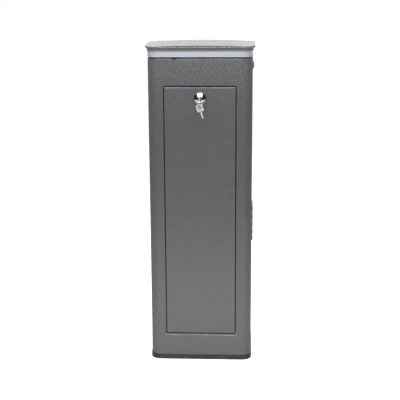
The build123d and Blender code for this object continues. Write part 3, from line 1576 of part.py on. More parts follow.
# Control box: an open box on the tray, with a separate cover
with BuildPart() as control_box:
    with BuildSketch(wall_plane(tray_y)):
        with Locations((0, box_bottom + box_height / 2)):
            RectangleRounded(box_width, box_height, 6)
    extrude(amount=box_depth)
    with BuildSketch(wall_plane(tray_y - box_wall)):
        with Locations((0, box_bottom + box_height / 2)):
            RectangleRounded(box_width - 2 * box_wall, box_height - 2 * box_wall, 3)
    extrude(amount=box_depth, mode=Mode.SUBTRACT)
    with Locations(*[(x, (tray_y + box_y) / 2, box_bottom) for x in gland_x]):
        Cylinder(gland_radius * 0.75 + slip, 4 * box_wall, mode=Mode.SUBTRACT)
control_box.part.label = "control_box"
export_step(control_box.part, "parts/control_box.step")

# Box cover
with BuildPart() as box_cover:
    with BuildSketch(wall_plane(box_y)):
        with Locations((0, box_bottom + box_height / 2)):
            RectangleRounded(box_width, box_height, 6)
    extrude(amount=box_lid)
    fillet(box_cover.faces().sort_by(Axis.Y)[0].edges(), 2)
    with BuildSketch(wall_plane(box_y)):
        with Locations((0, box_bottom + box_height / 2)):
            RectangleRounded(box_width - 2 * box_wall, box_height - 2 * box_wall, 3)
    extrude(amount=box_lid - box_wall, mode=Mode.SUBTRACT)
box_cover.part.label = "box_cover"
export_step(box_cover.part, "parts/box_cover.step")

# Cable glands: in the control box's lower wall
with BuildPart() as cable_glands:
    with Locations(*[(x, (tray_y + box_y) / 2, box_bottom) for x in gland_x]):
        with Locations((0, 0, -gland_length * 0.4)):
            add(hex_block(gland_radius * 1.15, gland_length * 0.4))
        Cylinder(gland_radius, gland_length, align=(Align.CENTER, Align.CENTER, Align.MAX))
        Cylinder(gland_radius * 0.75, box_wall + 2, align=(Align.CENTER, Align.CENTER, Align.MIN))
        Cylinder(gland_radius * 0.4, 4 * gland_length, mode=Mode.SUBTRACT)
cable_glands.part.label = "cable_glands"
export_step(cable_glands.part, "parts/cable_glands.step")

# Terminal rail: a hat-section rail across the tray
with BuildPart() as terminal_rail:
    with BuildSketch(Plane.YZ.offset(-rail_length / 2)):
        with BuildLine():
            Polyline(
                (tray_y, rail_z + rail_height / 2 - 5),
                (rail_y + 1, rail_z + rail_height / 2 - 5),
                (rail_y + 1, rail_z + rail_height / 2),
                (rail_y, rail_z + rail_height / 2),
                (rail_y, rail_z + rail_height / 2 - 6),
                (tray_y - 1, rail_z + rail_height / 2 - 6),
                (tray_y - 1, rail_z - rail_height / 2 + 6),
                (rail_y, rail_z - rail_height / 2 + 6),
                (rail_y, rail_z - rail_height / 2),
                (rail_y + 1, rail_z - rail_height / 2),
                (rail_y + 1, rail_z - rail_height / 2 + 5),
                (tray_y, rail_z - rail_height / 2 + 5),
                close=True,
            )
        make_face()
    extrude(amount=rail_length)
terminal_rail.part.label = "terminal_rail"
export_step(terminal_rail.part, "parts/terminal_rail.step")

# Terminals: a row of clamps on the rail
with BuildPart() as terminals:
    for place in range(terminal_count):
        with BuildSketch(Plane.YZ.offset(terminal_first_x + place * terminal_pitch)):
            with BuildLine():
                Polyline(
                    (rail_y, rail_z - terminal_height / 2),
                    (rail_y, rail_z + terminal_height / 2),
                    (rail_y - terminal_depth * 0.6, rail_z + terminal_height / 2),
                    (rail_y - terminal_depth, rail_z + terminal_height / 5),
                    (rail_y - terminal_depth, rail_z - terminal_height / 5),
                    (rail_y - terminal_depth * 0.6, rail_z - terminal_height / 2),
                    close=True,
                )
            make_face()
        extrude(amount=terminal_pitch - slip)
terminals.part.label = "terminals"
export_step(terminals.part, "parts/terminals.step")

# Breaker: on the rail, with a slot in its nose for the toggle
with BuildPart() as breaker:
    with Locations((breaker_x, rail_y, rail_z)):
        Box(breaker_width, breaker_depth, breaker_height, align=(Align.CENTER, Align.MAX, Align.CENTER))
    with Locations((breaker_x, rail_y - breaker_depth, rail_z)):
        Box(
            breaker_width,
            breaker_nose,
            breaker_height * 0.45,
            align=(Align.CENTER, Align.MAX, Align.CENTER),
        )
        Box(toggle_width + 1, 2 * breaker_nose, breaker_height * 0.36, mode=Mode.SUBTRACT)
breaker.part.label = "breaker"
export_step(breaker.part, "parts/breaker.step")

# Breaker toggle: swings up and down in the breaker's nose
toggle_y = rail_y - breaker_depth + breaker_nose / 2 - 3
with BuildPart() as breaker_toggle:
    with BuildSketch(Plane.YZ.offset(breaker_x - toggle_width / 2)):
        with Locations((toggle_y, rail_z)):
            Circle(3)
        with Locations(Location((toggle_y, rail_z), 180 - toggle_rest)):
            Rectangle(breaker_nose + toggle_reach, 4, align=(Align.MIN, Align.CENTER))
    extrude(amount=toggle_width)
breaker_toggle.part.label = "breaker_toggle"
export_step(breaker_toggle.part, "parts/breaker_toggle.step")

# Boom hub: keyed to the shaft outside the rear wall
with BuildPart() as boom_hub:
    with BuildSketch(wall_plane(hub_end_y)):
        with Locations((0, shaft_z)):
            Circle(hub_boss_radius)
    extrude(amount=hub_length)
    with BuildSketch(wall_plane(hub_end_y)):
        with Locations((0, shaft_z)):
            Circle(hub_flange_radius)
    extrude(amount=hub_flange_thickness)
    with BuildSketch(wall_plane(hub_end_y)):
        with Locations((0, shaft_z)):
            Circle(shaft_radius + running)
        with Locations(*hub_bolt_xz):
            Circle(hub_bolt_radius + hole_clearance)
    extrude(amount=hub_length, mode=Mode.SUBTRACT)
boom_hub.part.label = "boom_hub"
export_step(boom_hub.part, "parts/boom_hub.step")

# Boom plate: the boom bolts to its outer four holes
with BuildPart() as boom_plate:
    with BuildSketch(wall_plane(hub_end_y + boom_plate_thickness)):
        with Locations((0, shaft_z)):
            RectangleRounded(boom_plate_width, boom_plate_height, boom_plate_radius)
            with GridLocations(boom_hole_spacing_x, boom_hole_spacing_z, 2, 2):
                Circle(boom_hole_radius, mode=Mode.SUBTRACT)
        with Locations(*hub_bolt_xz):
            Circle(hub_bolt_radius + hole_clearance, mode=Mode.SUBTRACT)
    extrude(amount=boom_plate_thickness)
boom_plate.part.label = "boom_plate"
export_step(boom_plate.part, "parts/boom_plate.step")

# Hub bolts: hold the boom plate to the hub
with BuildPart() as hub_bolts:
    with Locations(
        *[Location((x, hub_end_y + boom_plate_thickness, z), (-90, 0, 0)) for x, z in hub_bolt_xz]
    ):
        add(hex_bolt(hub_bolt_radius, boom_plate_thickness + hub_flange_thickness, hub_bolt_head_radius, 5))
hub_bolts.part.label = "hub_bolts"
export_step(hub_bolts.part, "parts/hub_bolts.step")
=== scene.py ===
import math

import bmesh
import bpy
from mathutils import Matrix, Vector


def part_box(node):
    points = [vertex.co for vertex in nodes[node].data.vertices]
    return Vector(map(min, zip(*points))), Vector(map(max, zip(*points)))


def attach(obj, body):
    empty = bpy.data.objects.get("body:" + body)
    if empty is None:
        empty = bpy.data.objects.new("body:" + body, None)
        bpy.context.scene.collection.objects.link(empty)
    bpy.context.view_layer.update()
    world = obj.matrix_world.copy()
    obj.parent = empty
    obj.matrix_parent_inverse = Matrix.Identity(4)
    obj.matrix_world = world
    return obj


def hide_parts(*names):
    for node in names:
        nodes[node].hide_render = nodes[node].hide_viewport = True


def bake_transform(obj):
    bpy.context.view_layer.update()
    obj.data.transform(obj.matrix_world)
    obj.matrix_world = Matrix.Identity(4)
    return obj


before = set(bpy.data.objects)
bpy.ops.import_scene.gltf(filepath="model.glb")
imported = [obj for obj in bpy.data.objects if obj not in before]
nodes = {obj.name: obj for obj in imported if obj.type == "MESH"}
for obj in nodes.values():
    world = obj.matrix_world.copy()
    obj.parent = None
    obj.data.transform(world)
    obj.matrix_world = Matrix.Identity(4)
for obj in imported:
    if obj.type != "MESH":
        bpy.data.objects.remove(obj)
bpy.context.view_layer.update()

# Ground and backdrop: a plain white sheet that the cabinet stands on.
# It stays white to the camera and still takes the cabinet's soft shadow.
sheet_reach = 30
paper_grey, camera_lift = 0.82, 0.72


def emptied(owner):
    """The node tree of a material or of the surround, cleared for its own shaders."""
    owner.use_nodes = True
    owner.node_tree.nodes.clear()
    return owner.node_tree


def glow(tree, kind, colour, strength):
    """A shader that sends out light of one colour."""
    source = tree.nodes.new(kind)
    source.inputs["Color"].default_value = (*colour, 1)
    source.inputs["Strength"].default_value = strength
    return source.outputs[0]


def chosen(tree, mask, first, second):
    """The first shader where a mask is 0, and the second where it is 1."""
    choice = tree.nodes.new("ShaderNodeMixShader")
    for slot, source in enumerate((mask, first, second)):
        tree.links.new(source, choice.inputs[slot])
    return choice.outputs[0]


def ended(tree, kind, surface):
    """Joins a shader to its output."""
    tree.links.new(surface, tree.nodes.new(kind).inputs[0])


def placed(name, made, finish):
    """Turns a finished build into a piece of the scene, with its material."""
    mesh = bpy.data.meshes.new(name)
    made.to_mesh(mesh)
    made.free()
    mesh.materials.append(finish)
    piece = bpy.data.objects.new(name, mesh)
    bpy.context.collection.objects.link(piece)
    return piece


white_sheet = bpy.data.materials.new("white_sheet")
tree = emptied(white_sheet)
paper = tree.nodes.new("ShaderNodeBsdfDiffuse")
paper.inputs["Color"].default_value = (paper_grey, paper_grey, paper_grey, 1)
lifted = tree.nodes.new("ShaderNodeAddShader")
tree.links.new(paper.outputs[0], lifted.inputs[0])
tree.links.new(glow(tree, "ShaderNodeEmission", (1, 1, 1), camera_lift), lifted.inputs[1])
seen = tree.nodes.new("ShaderNodeLightPath")
sheet_look = chosen(tree, seen.outputs["Is Camera Ray"], paper.outputs[0], lifted.outputs[0])
ended(tree, "ShaderNodeOutputMaterial", sheet_look)
sheet = bmesh.new()
bmesh.ops.create_grid(sheet, x_segments=1, y_segments=1, size=sheet_reach)
floor = placed("floor", sheet, white_sheet)

# Studio: an even white surround, which the camera sees as plain white, and five lamps.
# They stand in front, low before the plinth, above the front, over the lid's front edge and behind.
surround_tint, surround_strength = (0.95, 0.97, 1.0), 0.40


def combined(tree, first, second, way):
    """Two masks as one, by MULTIPLY for both at once or MAXIMUM for either."""
    both = tree.nodes.new("ShaderNodeMath")
    both.operation = way
    tree.links.new(first, both.inputs[0])
    tree.links.new(second, both.inputs[1])
    return both.outputs[0]


world = bpy.data.worlds.new("surround")
bpy.context.scene.world = world
tree = emptied(world)
seen = tree.nodes.new("ShaderNodeLightPath")
mirrored = combined(tree, seen.outputs["Is Camera Ray"], seen.outputs["Is Glossy Ray"], "MAXIMUM")
shown = combined(tree, mirrored, seen.outputs["Is Transmission Ray"], "MAXIMUM")
soft = glow(tree, "ShaderNodeBackground", surround_tint, surround_strength)
plain = glow(tree, "ShaderNodeBackground", (1, 1, 1), 1.0)
ended(tree, "ShaderNodeOutputWorld", chosen(tree, shown, soft, plain))


def studio_lamp(name, place, aim, width, height, power):
    """A rectangular lamp that faces a point."""
    lamp = bpy.data.lights.new(name, "AREA")
    lamp.shape = "RECTANGLE"
    lamp.size = width
    lamp.size_y = height
    lamp.energy = power
    holder = bpy.data.objects.new(name, lamp)
    holder.visible_camera = False
    holder.location = place
    holder.rotation_euler = (Vector(aim) - Vector(place)).to_track_quat("-Z", "Y").to_euler()
    bpy.context.collection.objects.link(holder)


studio_lamp("front_lamp", (0.0, -3.4, 0.52), (0, 0, 0.5), width=2.0, height=1.0, power=10)
studio_lamp("low_lamp", (0.0, -0.60, 0.12), (0, 0, 0.10), width=1.2, height=0.16, power=3.0)
studio_lamp("soft_box", (0.0, -1.00, 1.9), (0, -0.35, 0.9), width=0.9, height=1.6, power=7)
studio_lamp("top_strip", (0.0, -0.40, 1.42), (0, -0.14, 0.93), width=0.8, height=0.10, power=3.1)
studio_lamp("back_lamp", (0.0, 1.3, 3.0), (0, 0, 1.0), width=2.6, height=1.6, power=70)

# Reflection sheets: a black half tent, a pale ceiling and a dark mat, seen in reflections alone.
# Polished metal shows what stands round it, and turns white all over without them.
tent_radius, tent_top, tent_foot, tent_opening = 2.6, 3.6, 0.02, 0.3


def reflection_sheet(name, made, colour, strength):
    """Places a sheet that shows in polished surfaces and nowhere else."""
    look = bpy.data.materials.new(name)
    tree = emptied(look)
    ended(tree, "ShaderNodeOutputMaterial", glow(tree, "ShaderNodeEmission", colour, strength))
    piece = placed(name, made, look)
    piece.visible_camera = False
    piece.visible_diffuse = False
    piece.visible_transmission = False
    piece.visible_shadow = False


tent = bmesh.new()
last = tent.verts.new((-tent_radius, 0, tent_foot))
for radius in (tent_radius, tent_opening):
    last = bmesh.ops.extrude_vert_indiv(tent, verts=[last])["verts"][0]
    last.co = (-radius, 0, tent_top)
bmesh.ops.spin(
    tent,
    geom=tent.verts[:] + tent.edges[:],
    cent=(0, 0, 0),
    axis=(0, 0, 1),
    angle=math.radians(180),
    steps=32,
)
reflection_sheet("dark_tent", tent, (0.02, 0.022, 0.026), 1.0)
for name, half_size, place, lean, grey, strength in (
    ("pale_ceiling", (1.5, 1.15), (0, -1.55, 2.1), 52, 1.0, 1.25),
    ("dark_mat", (0.9, 0.20), (0, -0.40, 0.004), 0, 0.16, 1.0),
):
    sheet = bmesh.new()
    bmesh.ops.create_grid(sheet, x_segments=1, y_segments=1, size=1.0)
    bmesh.ops.scale(sheet, verts=sheet.verts, vec=(*half_size, 1))
    tilt = Matrix.Rotation(math.radians(lean), 3, "X")
    bmesh.ops.rotate(sheet, verts=sheet.verts, cent=(0, 0, 0), matrix=tilt)
    bmesh.ops.translate(sheet, verts=sheet.verts, vec=place)
    reflection_sheet(name, sheet, (grey, grey, grey), strength)

# Camera: where the picture was taken from, a little to the right and above the lid.
# The place, turn and lens come from the cabinet's edges in the picture.
yaw, pitch, roll = 0.0509, 0.22481, -0.005
stand = (0.1372, -2.8501, 1.1481)
focal_pixels, picture_pixels = 896.05, 400
ahead = Vector((-math.sin(yaw) * math.cos(pitch), math.cos(yaw) * math.cos(pitch), -math.sin(pitch)))
across = Vector((math.cos(yaw), math.sin(yaw), 0))
above = across.cross(ahead)
right = math.cos(roll) * across + math.sin(roll) * above
up = -math.sin(roll) * across + math.cos(roll) * above
lens = bpy.data.cameras.new("camera")
lens.sensor_width = 36
lens.lens = focal_pixels * lens.sensor_width / picture_pixels
lens.clip_end = 100
camera = bpy.data.objects.new("camera", lens)
turn = Matrix((right, up, -ahead)).transposed()
camera.matrix_world = Matrix.Translation(stand) @ turn.to_4x4()
bpy.context.collection.objects.link(camera)
bpy.context.scene.camera = camera
bpy.context.scene.view_settings.view_transform = "Standard"

# Plinth: a welded steel ring, painted black, that the cabinet stands on.
# It shows a fine paint grain and a little pale dust low down, as floor pieces do.
dust_top = 0.014


def tone(red, green, blue):
    """A colour as the eye sees it, each part from 0 to 255, for a shader."""
    parts = [((part / 255 + 0.055) / 1.055) ** 2.4 for part in (red, green, blue)]
    return (*parts, 1)


def new_finish(name, rough, metal=0.0):
    """A material with one surface shader, ready for its pattern."""
    finish = bpy.data.materials.new(name)
    finish.use_nodes = True
    shader = finish.node_tree.nodes["Principled BSDF"]
    shader.inputs["Roughness"].default_value = rough
    shader.inputs["Metallic"].default_value = metal
    return finish, finish.node_tree, shader


def grain(tree, scale, detail=3.0, stretch=(1, 1, 1)):
    """Noise that stays with the object, its grains 1 / scale of a metre across."""
    place = tree.nodes.new("ShaderNodeTexCoord")
    size = tree.nodes.new("ShaderNodeMapping")
    size.inputs["Scale"].default_value = stretch
    pattern = tree.nodes.new("ShaderNodeTexNoise")
    pattern.inputs["Scale"].default_value = scale
    pattern.inputs["Detail"].default_value = detail
    tree.links.new(place.outputs["Object"], size.inputs["Vector"])
    tree.links.new(size.outputs["Vector"], pattern.inputs["Vector"])
    return pattern.outputs["Fac"]


def two_tones(tree, source, low, high, dark, light):
    """Two colours spread over part of a pattern."""
    spread = tree.nodes.new("ShaderNodeValToRGB")
    spread.color_ramp.elements[0].position = low
    spread.color_ramp.elements[1].position = high
    spread.color_ramp.elements[0].color = dark
    spread.color_ramp.elements[1].color = light
    tree.links.new(source, spread.inputs["Fac"])
    return spread.outputs["Color"]


def span(tree, source, low, high, start=0.3, end=0.7):
    """A pattern turned into numbers between low and high."""
    reach = tree.nodes.new("ShaderNodeMapRange")
    reach.inputs["From Min"].default_value = start
    reach.inputs["From Max"].default_value = end
    reach.inputs["To Min"].default_value = low
    reach.inputs["To Max"].default_value = high
    tree.links.new(source, reach.inputs["Value"])
    return reach.outputs["Result"]


def patches(tree, scale, detail, most, start, end):
    """Soft patches of grain, 0 outside them and the most in their middles."""
    return span(tree, grain(tree, scale, detail), 0, most, start, end)


def height_above_floor(tree, low, high):
    """0 at one height and 1 at another, for dust and for the painted glints."""
    place = tree.nodes.new("ShaderNodeTexCoord")
    parts = tree.nodes.new("ShaderNodeSeparateXYZ")
    tree.links.new(place.outputs["Object"], parts.inputs["Vector"])
    return span(tree, parts.outputs["Z"], 0, 1, low, high)


def layered(tree, mask, under, over):
    """One colour over another, where a mask is 1."""
    layer = tree.nodes.new("ShaderNodeMix")
    layer.data_type = "RGBA"
    tree.links.new(mask, layer.inputs["Factor"])
    for colour, slot in ((under, layer.inputs[6]), (over, layer.inputs[7])):
        if isinstance(colour, tuple):
            slot.default_value = colour
        else:
            tree.links.new(colour, slot)
    return layer.outputs[2]


def coloured(tree, shader, colour, rough=None):
    """Gives a finish the pattern of its colour and, if it has one, of its roughness."""
    tree.links.new(colour, shader.inputs["Base Color"])
    if rough is not None:
        tree.links.new(rough, shader.inputs["Roughness"])


def raised(tree, shader, source, depth, strength):
    """Raises the surface by a pattern, with depth in metres."""
    relief = tree.nodes.new("ShaderNodeBump")
    relief.inputs["Distance"].default_value = depth
    relief.inputs["Strength"].default_value = strength
    tree.links.new(source, relief.inputs["Height"])
    tree.links.new(relief.outputs["Normal"], shader.inputs["Normal"])


def dress(names, finish):
    """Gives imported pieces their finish."""
    for name in names:
        nodes[name].data.materials.clear()
        nodes[name].data.materials.append(finish)


plinth_black, tree, shader = new_finish("plinth_black", rough=0.45)
paint = two_tones(tree, grain(tree, 300, 2), 0.35, 0.7, tone(25, 25, 26), tone(36, 36, 37))
settled = patches(tree, 45, 4, most=0.5, start=0.5, end=0.75)
dusty = combined(tree, settled, height_above_floor(tree, dust_top, 0.0), "MULTIPLY")
coloured(tree, shader, layered(tree, dusty, paint, tone(92, 90, 86)))
raised(tree, shader, grain(tree, 700, 3), depth=0.0003, strength=0.4)
dress(["plinth"], plinth_black)

# Base plate and its screws: hot-dip galvanised plate with laser-cut holes, zinc plated screws.
# The zinc shows as large soft crystals, duller where it has been handled.
spangle, tree, shader = new_finish("galvanised_sheet", rough=0.4, metal=1.0)
place = tree.nodes.new("ShaderNodeTexCoord")
crystal = tree.nodes.new("ShaderNodeTexVoronoi")
crystal.inputs["Scale"].default_value = 110
tree.links.new(place.outputs["Object"], crystal.inputs["Vector"])
facet = tree.nodes.new("ShaderNodeSeparateColor")
tree.links.new(crystal.outputs["Color"], facet.inputs["Color"])
crystals = two_tones(tree, facet.outputs["Red"], 0.0, 1.0, tone(158, 162, 166), tone(190, 193, 197))
handled = patches(tree, 22, 4, most=0.45, start=0.45, end=0.75)
crystal_gloss = span(tree, facet.outputs["Green"], 0.3, 0.48, 0, 1)
coloured(tree, shader, layered(tree, handled, crystals, tone(140, 143, 147)), crystal_gloss)
raised(tree, shader, grain(tree, 260, 3), depth=0.0002, strength=0.2)
dress(["base_plate"], spangle)


def plated(name, dark, light, rough, scale, stretch=(1, 1, 1)):
    """A metal finish with plating cloud, or with drawing marks along a stretch."""
    finish, tree, shader = new_finish(name, rough, 1.0)
    marks = grain(tree, scale, 4.0, stretch)
    cloud = two_tones(tree, marks, 0.32, 0.7, tone(*dark), tone(*light))
    worn = patches(tree, 35, 5, most=0.35, start=0.55, end=0.8)
    duller = tuple(channel * 0.7 for channel in tone(*dark)[:3]) + (1,)
    gloss = span(tree, marks, rough * 0.8, rough * 1.25)
    coloured(tree, shader, layered(tree, worn, cloud, duller), gloss)
    raised(tree, shader, marks, depth=0.0002, strength=0.15)
    return finish


zinc = plated("bright_zinc", (178, 182, 190), (216, 219, 224), 0.28, 140)
dress(["base_screws"], zinc)

# Uprights and anchor bar: folded from the same galvanised sheet and bolted to the base plate.
# The bar ties the uprights together low down and holds the springs' adjusters.
dress(["uprights", "anchor_bar"], spangle)

# Mechanism plates and their screws and nuts: laser-cut plate, zinc plated after cutting.
# Fine rolling marks run level across the plates and show through the plating.
plate_zinc = plated("plate_zinc", (164, 169, 176), (200, 203, 208), 0.34, 90, (1, 1, 4))
dress(["front_plate", "rear_plate"], plate_zinc)
dress(["frame_screws", "frame_nuts"], zinc)

# Pillars, shafts and stop posts: ground steel bar, with turning marks across its length.
# A thin film of oil keeps it from rusting.
ground_steel = plated("ground_steel", (164, 165, 168), (206, 207, 210), 0.22, 60, (1, 30, 1))
dress(["pillars", "stop_posts", "main_shaft", "output_shaft"], ground_steel)

# Bearings, rocker, crank and boom hub: grey iron castings, primed and sprayed blue grey.
# Sand grain shows through the paint.
casting, tree, shader = new_finish("painted_casting", rough=0.5)
sand = grain(tree, 320, 5)
paint = two_tones(tree, sand, 0.3, 0.75, tone(66, 74, 82), tone(86, 95, 104))
bare = patches(tree, 28, 5, most=0.6, start=0.62, end=0.82)
coloured(tree, shader, layered(tree, bare, paint, tone(110, 114, 118)), span(tree, sand, 0.42, 0.6))
raised(tree, shader, sand, depth=0.0006, strength=0.5)
dress(["bearings", "rocker", "crank", "boom_hub"], casting)
dress(["bearing_bolts", "hub_bolts"], zinc)

# Gearbox: a die-cast aluminium case, sprayed silver grey, bolted to the front plate.
# The spray holds a fine metal fleck and has dulled in soft patches.
silver_spray, tree, shader = new_finish("silver_spray", rough=0.38, metal=0.35)
paint = two_tones(tree, grain(tree, 900, 2), 0.35, 0.7, tone(138, 142, 146), tone(164, 167, 170))
dulled = patches(tree, 14, 4, most=0.5, start=0.5, end=0.8)
coloured(tree, shader, layered(tree, dulled, paint, tone(120, 122, 124)))
raised(tree, shader, grain(tree, 200, 4), depth=0.0004, strength=0.3)
dress(["gearbox"], silver_spray)
dress(["gearbox_bolts"], zinc)

# Motor: an extruded aluminium body with cooling fins, a square flange and a pressed fan cowl.
# It hangs under the gearbox, sprayed near black, with its terminal box on the left.
flange_width, flange_depth, flange_corner = 0.068, 0.008, 0.006
fin_count, fin_points, fin_radius, groove_radius = 24, 6, 0.033, 0.029
cowl_radius, cowl_depth, cowl_corner = 0.034, 0.024, 0.005
land, slope, ring_depth = 0.004, 0.0024, 0.0015
terminal_box, box_drop, box_corner = (0.024, 0.044, 0.052), 0.0549, 0.0025


def block(made, size, middle):
    """A square block in a build, by its size and middle. Returns its corners."""
    corners = bmesh.ops.create_cube(made, size=1)["verts"]
    bmesh.ops.scale(made, verts=corners, vec=size)
    bmesh.ops.translate(made, verts=corners, vec=middle)
    return corners


def round_bar(made, radius, length, middle, segments, lean=0):
    """A round bar in a build, upright or leaned over towards X. Returns its corners."""
    corners = bmesh.ops.create_cone(
        made, cap_ends=True, segments=segments, radius1=radius, radius2=radius, depth=length
    )["verts"]
    over = Matrix.Rotation(math.radians(lean), 3, "Y")
    bmesh.ops.rotate(made, verts=corners, cent=(0, 0, 0), matrix=over)
    bmesh.ops.translate(made, verts=corners, vec=middle)
    return corners


def edges_between(made, corners):
    """The edges that join corners of one group."""
    return [edge for edge in made.edges if all(corner in corners for corner in edge.verts)]


def rounded(made, edges, radius, segments):
    """Rounds off edges of a build."""
    bmesh.ops.bevel(
        made, geom=edges, offset=radius, segments=segments, profile=0.5, affect="EDGES", material=-1
    )


motor_black, tree, shader = new_finish("motor_black", rough=0.42)
paint = two_tones(tree, grain(tree, 500, 3), 0.3, 0.7, tone(40, 42, 46), tone(54, 57, 61))
dusty = patches(tree, 40, 5, most=0.4, start=0.55, end=0.8)
coloured(tree, shader, layered(tree, dusty, paint, tone(84, 84, 82)))
raised(tree, shader, grain(tree, 420, 3), depth=0.0003, strength=0.35)
low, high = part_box("motor")
motor_mid = (high[0] - flange_width / 2, (low[1] + high[1]) / 2)
body_top, body_foot = high[2] - flange_depth, low[2] + cowl_depth
motor = bmesh.new()
block(motor, (flange_width, flange_width, flange_depth), (*motor_mid, high[2] - flange_depth / 2))
upright = [e for e in motor.edges if abs(e.verts[0].co.z - e.verts[1].co.z) > flange_depth / 2]
rounded(motor, upright, flange_corner, segments=4)
fins = bmesh.ops.create_circle(
    motor, cap_ends=True, segments=fin_count * fin_points, radius=fin_radius
)["verts"]
for number, corner in enumerate(fins):
    if number % fin_points < fin_points / 2:
        corner.co *= groove_radius / fin_radius
bmesh.ops.translate(motor, verts=fins, vec=(*motor_mid, body_foot))
section = [face for face in motor.faces if all(corner in fins for corner in face.verts)]
grown = bmesh.ops.extrude_face_region(motor, geom=section)["geom"]
drawn = [part for part in grown if isinstance(part, bmesh.types.BMVert)]
bmesh.ops.translate(motor, verts=drawn, vec=(0, 0, body_top - body_foot))
cowl_middle = (*motor_mid, low[2] + cowl_depth / 2)
cowl = round_bar(motor, cowl_radius, cowl_depth, cowl_middle, segments=72)
cowl_foot = [corner for corner in cowl if corner.co.z < low[2] + cowl_depth / 2]
rounded(motor, edges_between(motor, cowl_foot), cowl_corner, segments=4)
disc = min(motor.faces, key=lambda face: face.calc_center_median().z)
for width, rise in (
    (land, 0),
    (slope, -ring_depth),
    (land, 0),
    (slope, ring_depth),
    (land, 0),
    (slope, -ring_depth),
    (land, 0),
):
    bmesh.ops.inset_region(motor, faces=[disc], thickness=width, depth=rise, use_even_offset=True)
box_middle = (low[0] + terminal_box[0] / 2, motor_mid[1], high[2] - box_drop)
box_corners = block(motor, terminal_box, box_middle)
rounded(motor, edges_between(motor, box_corners), box_corner, segments=3)
bmesh.ops.recalc_face_normals(motor, faces=motor.faces)
motor_piece = placed("finned_motor", motor, motor_black)
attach(motor_piece, "cabinet")
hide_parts("motor")

# Tie rod: a zinc plated tube between two spherical rod ends, locked by a nut at each end.
# The ends are forged and ground, so they are greyer than the tube.
rod_end_steel = plated("rod_end_steel", (150, 151, 154), (196, 197, 200), 0.26, 120)
dress(["tie_rod", "rod_nuts"], zinc)
dress(["rod_ends"], rod_end_steel)

# Sheave, yoke and eyebolts: turned and cut from steel, zinc plated.
# They carry the pull of the springs up to the boom shaft.
dress(["sheave", "spring_yoke", "eyebolts"], zinc)

# Rope: six strands laid round a core, clamped in the yoke and wound onto the sheave.
# Its lay follows a twist along the rope, and it shortens as the sheave takes it up.
strands, strand_points, valley = 6, 4, 0.82
lay_steps, lay_turn = 120, 9
strand = plated("stranded_rope", (120, 121, 124), (176, 177, 180), 0.4, 500, (1, 1, 3))
low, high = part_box("rope")
rope_mid = ((low[0] + high[0]) / 2, (low[1] + high[1]) / 2)
rope_radius = (high[0] - low[0]) / 2
lay = bmesh.new()
bmesh.ops.create_circle(lay, cap_ends=False, segments=strands * strand_points, radius=rope_radius)
for number, corner in enumerate(lay.verts):
    if number % strand_points == 0:
        corner.co *= valley
bmesh.ops.translate(lay, verts=lay.verts, vec=(*rope_mid, low[2]))
bmesh.ops.spin(
    lay,
    geom=lay.edges[:],
    cent=(*rope_mid, 0),
    axis=(0, 0, 1),
    dvec=(0, 0, (high[2] - low[2]) / lay_steps),
    angle=math.radians(lay_turn * lay_steps),
    steps=lay_steps,
)
bmesh.ops.holes_fill(lay, edges=[edge for edge in lay.edges if edge.is_boundary])
bmesh.ops.recalc_face_normals(lay, faces=lay.faces)
rope = placed("balance_rope", lay, strand)
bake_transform(rope)
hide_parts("rope")

# Balance springs: oil-tempered wire coiled cold, with a loop drawn out at each end.
# They hang between the eyebolts and the yoke, and stretch while the boom is down.
wire, coil_radius, loop_radius, loop_angle = 0.0024, 0.0120, 0.0090, 275
spread, neck, neck_lap, coil_gap = 0.019, 0.017, 0.001, 0.014
wire_points, loop_steps, turns, turn_steps = 12, 26, 27, 20


def wire_section(coil, middle, lean=0):
    """A ring of points round the wire, ready to be spun along it. Returns its edges."""
    section = bmesh.ops.create_circle(coil, segments=wire_points, radius=wire)["verts"]
    over = Matrix.Rotation(math.radians(lean), 3, "X")
    bmesh.ops.rotate(coil, verts=section, cent=(0, 0, 0), matrix=over)
    bmesh.ops.translate(coil, verts=section, vec=middle)
    return edges_between(coil, section)


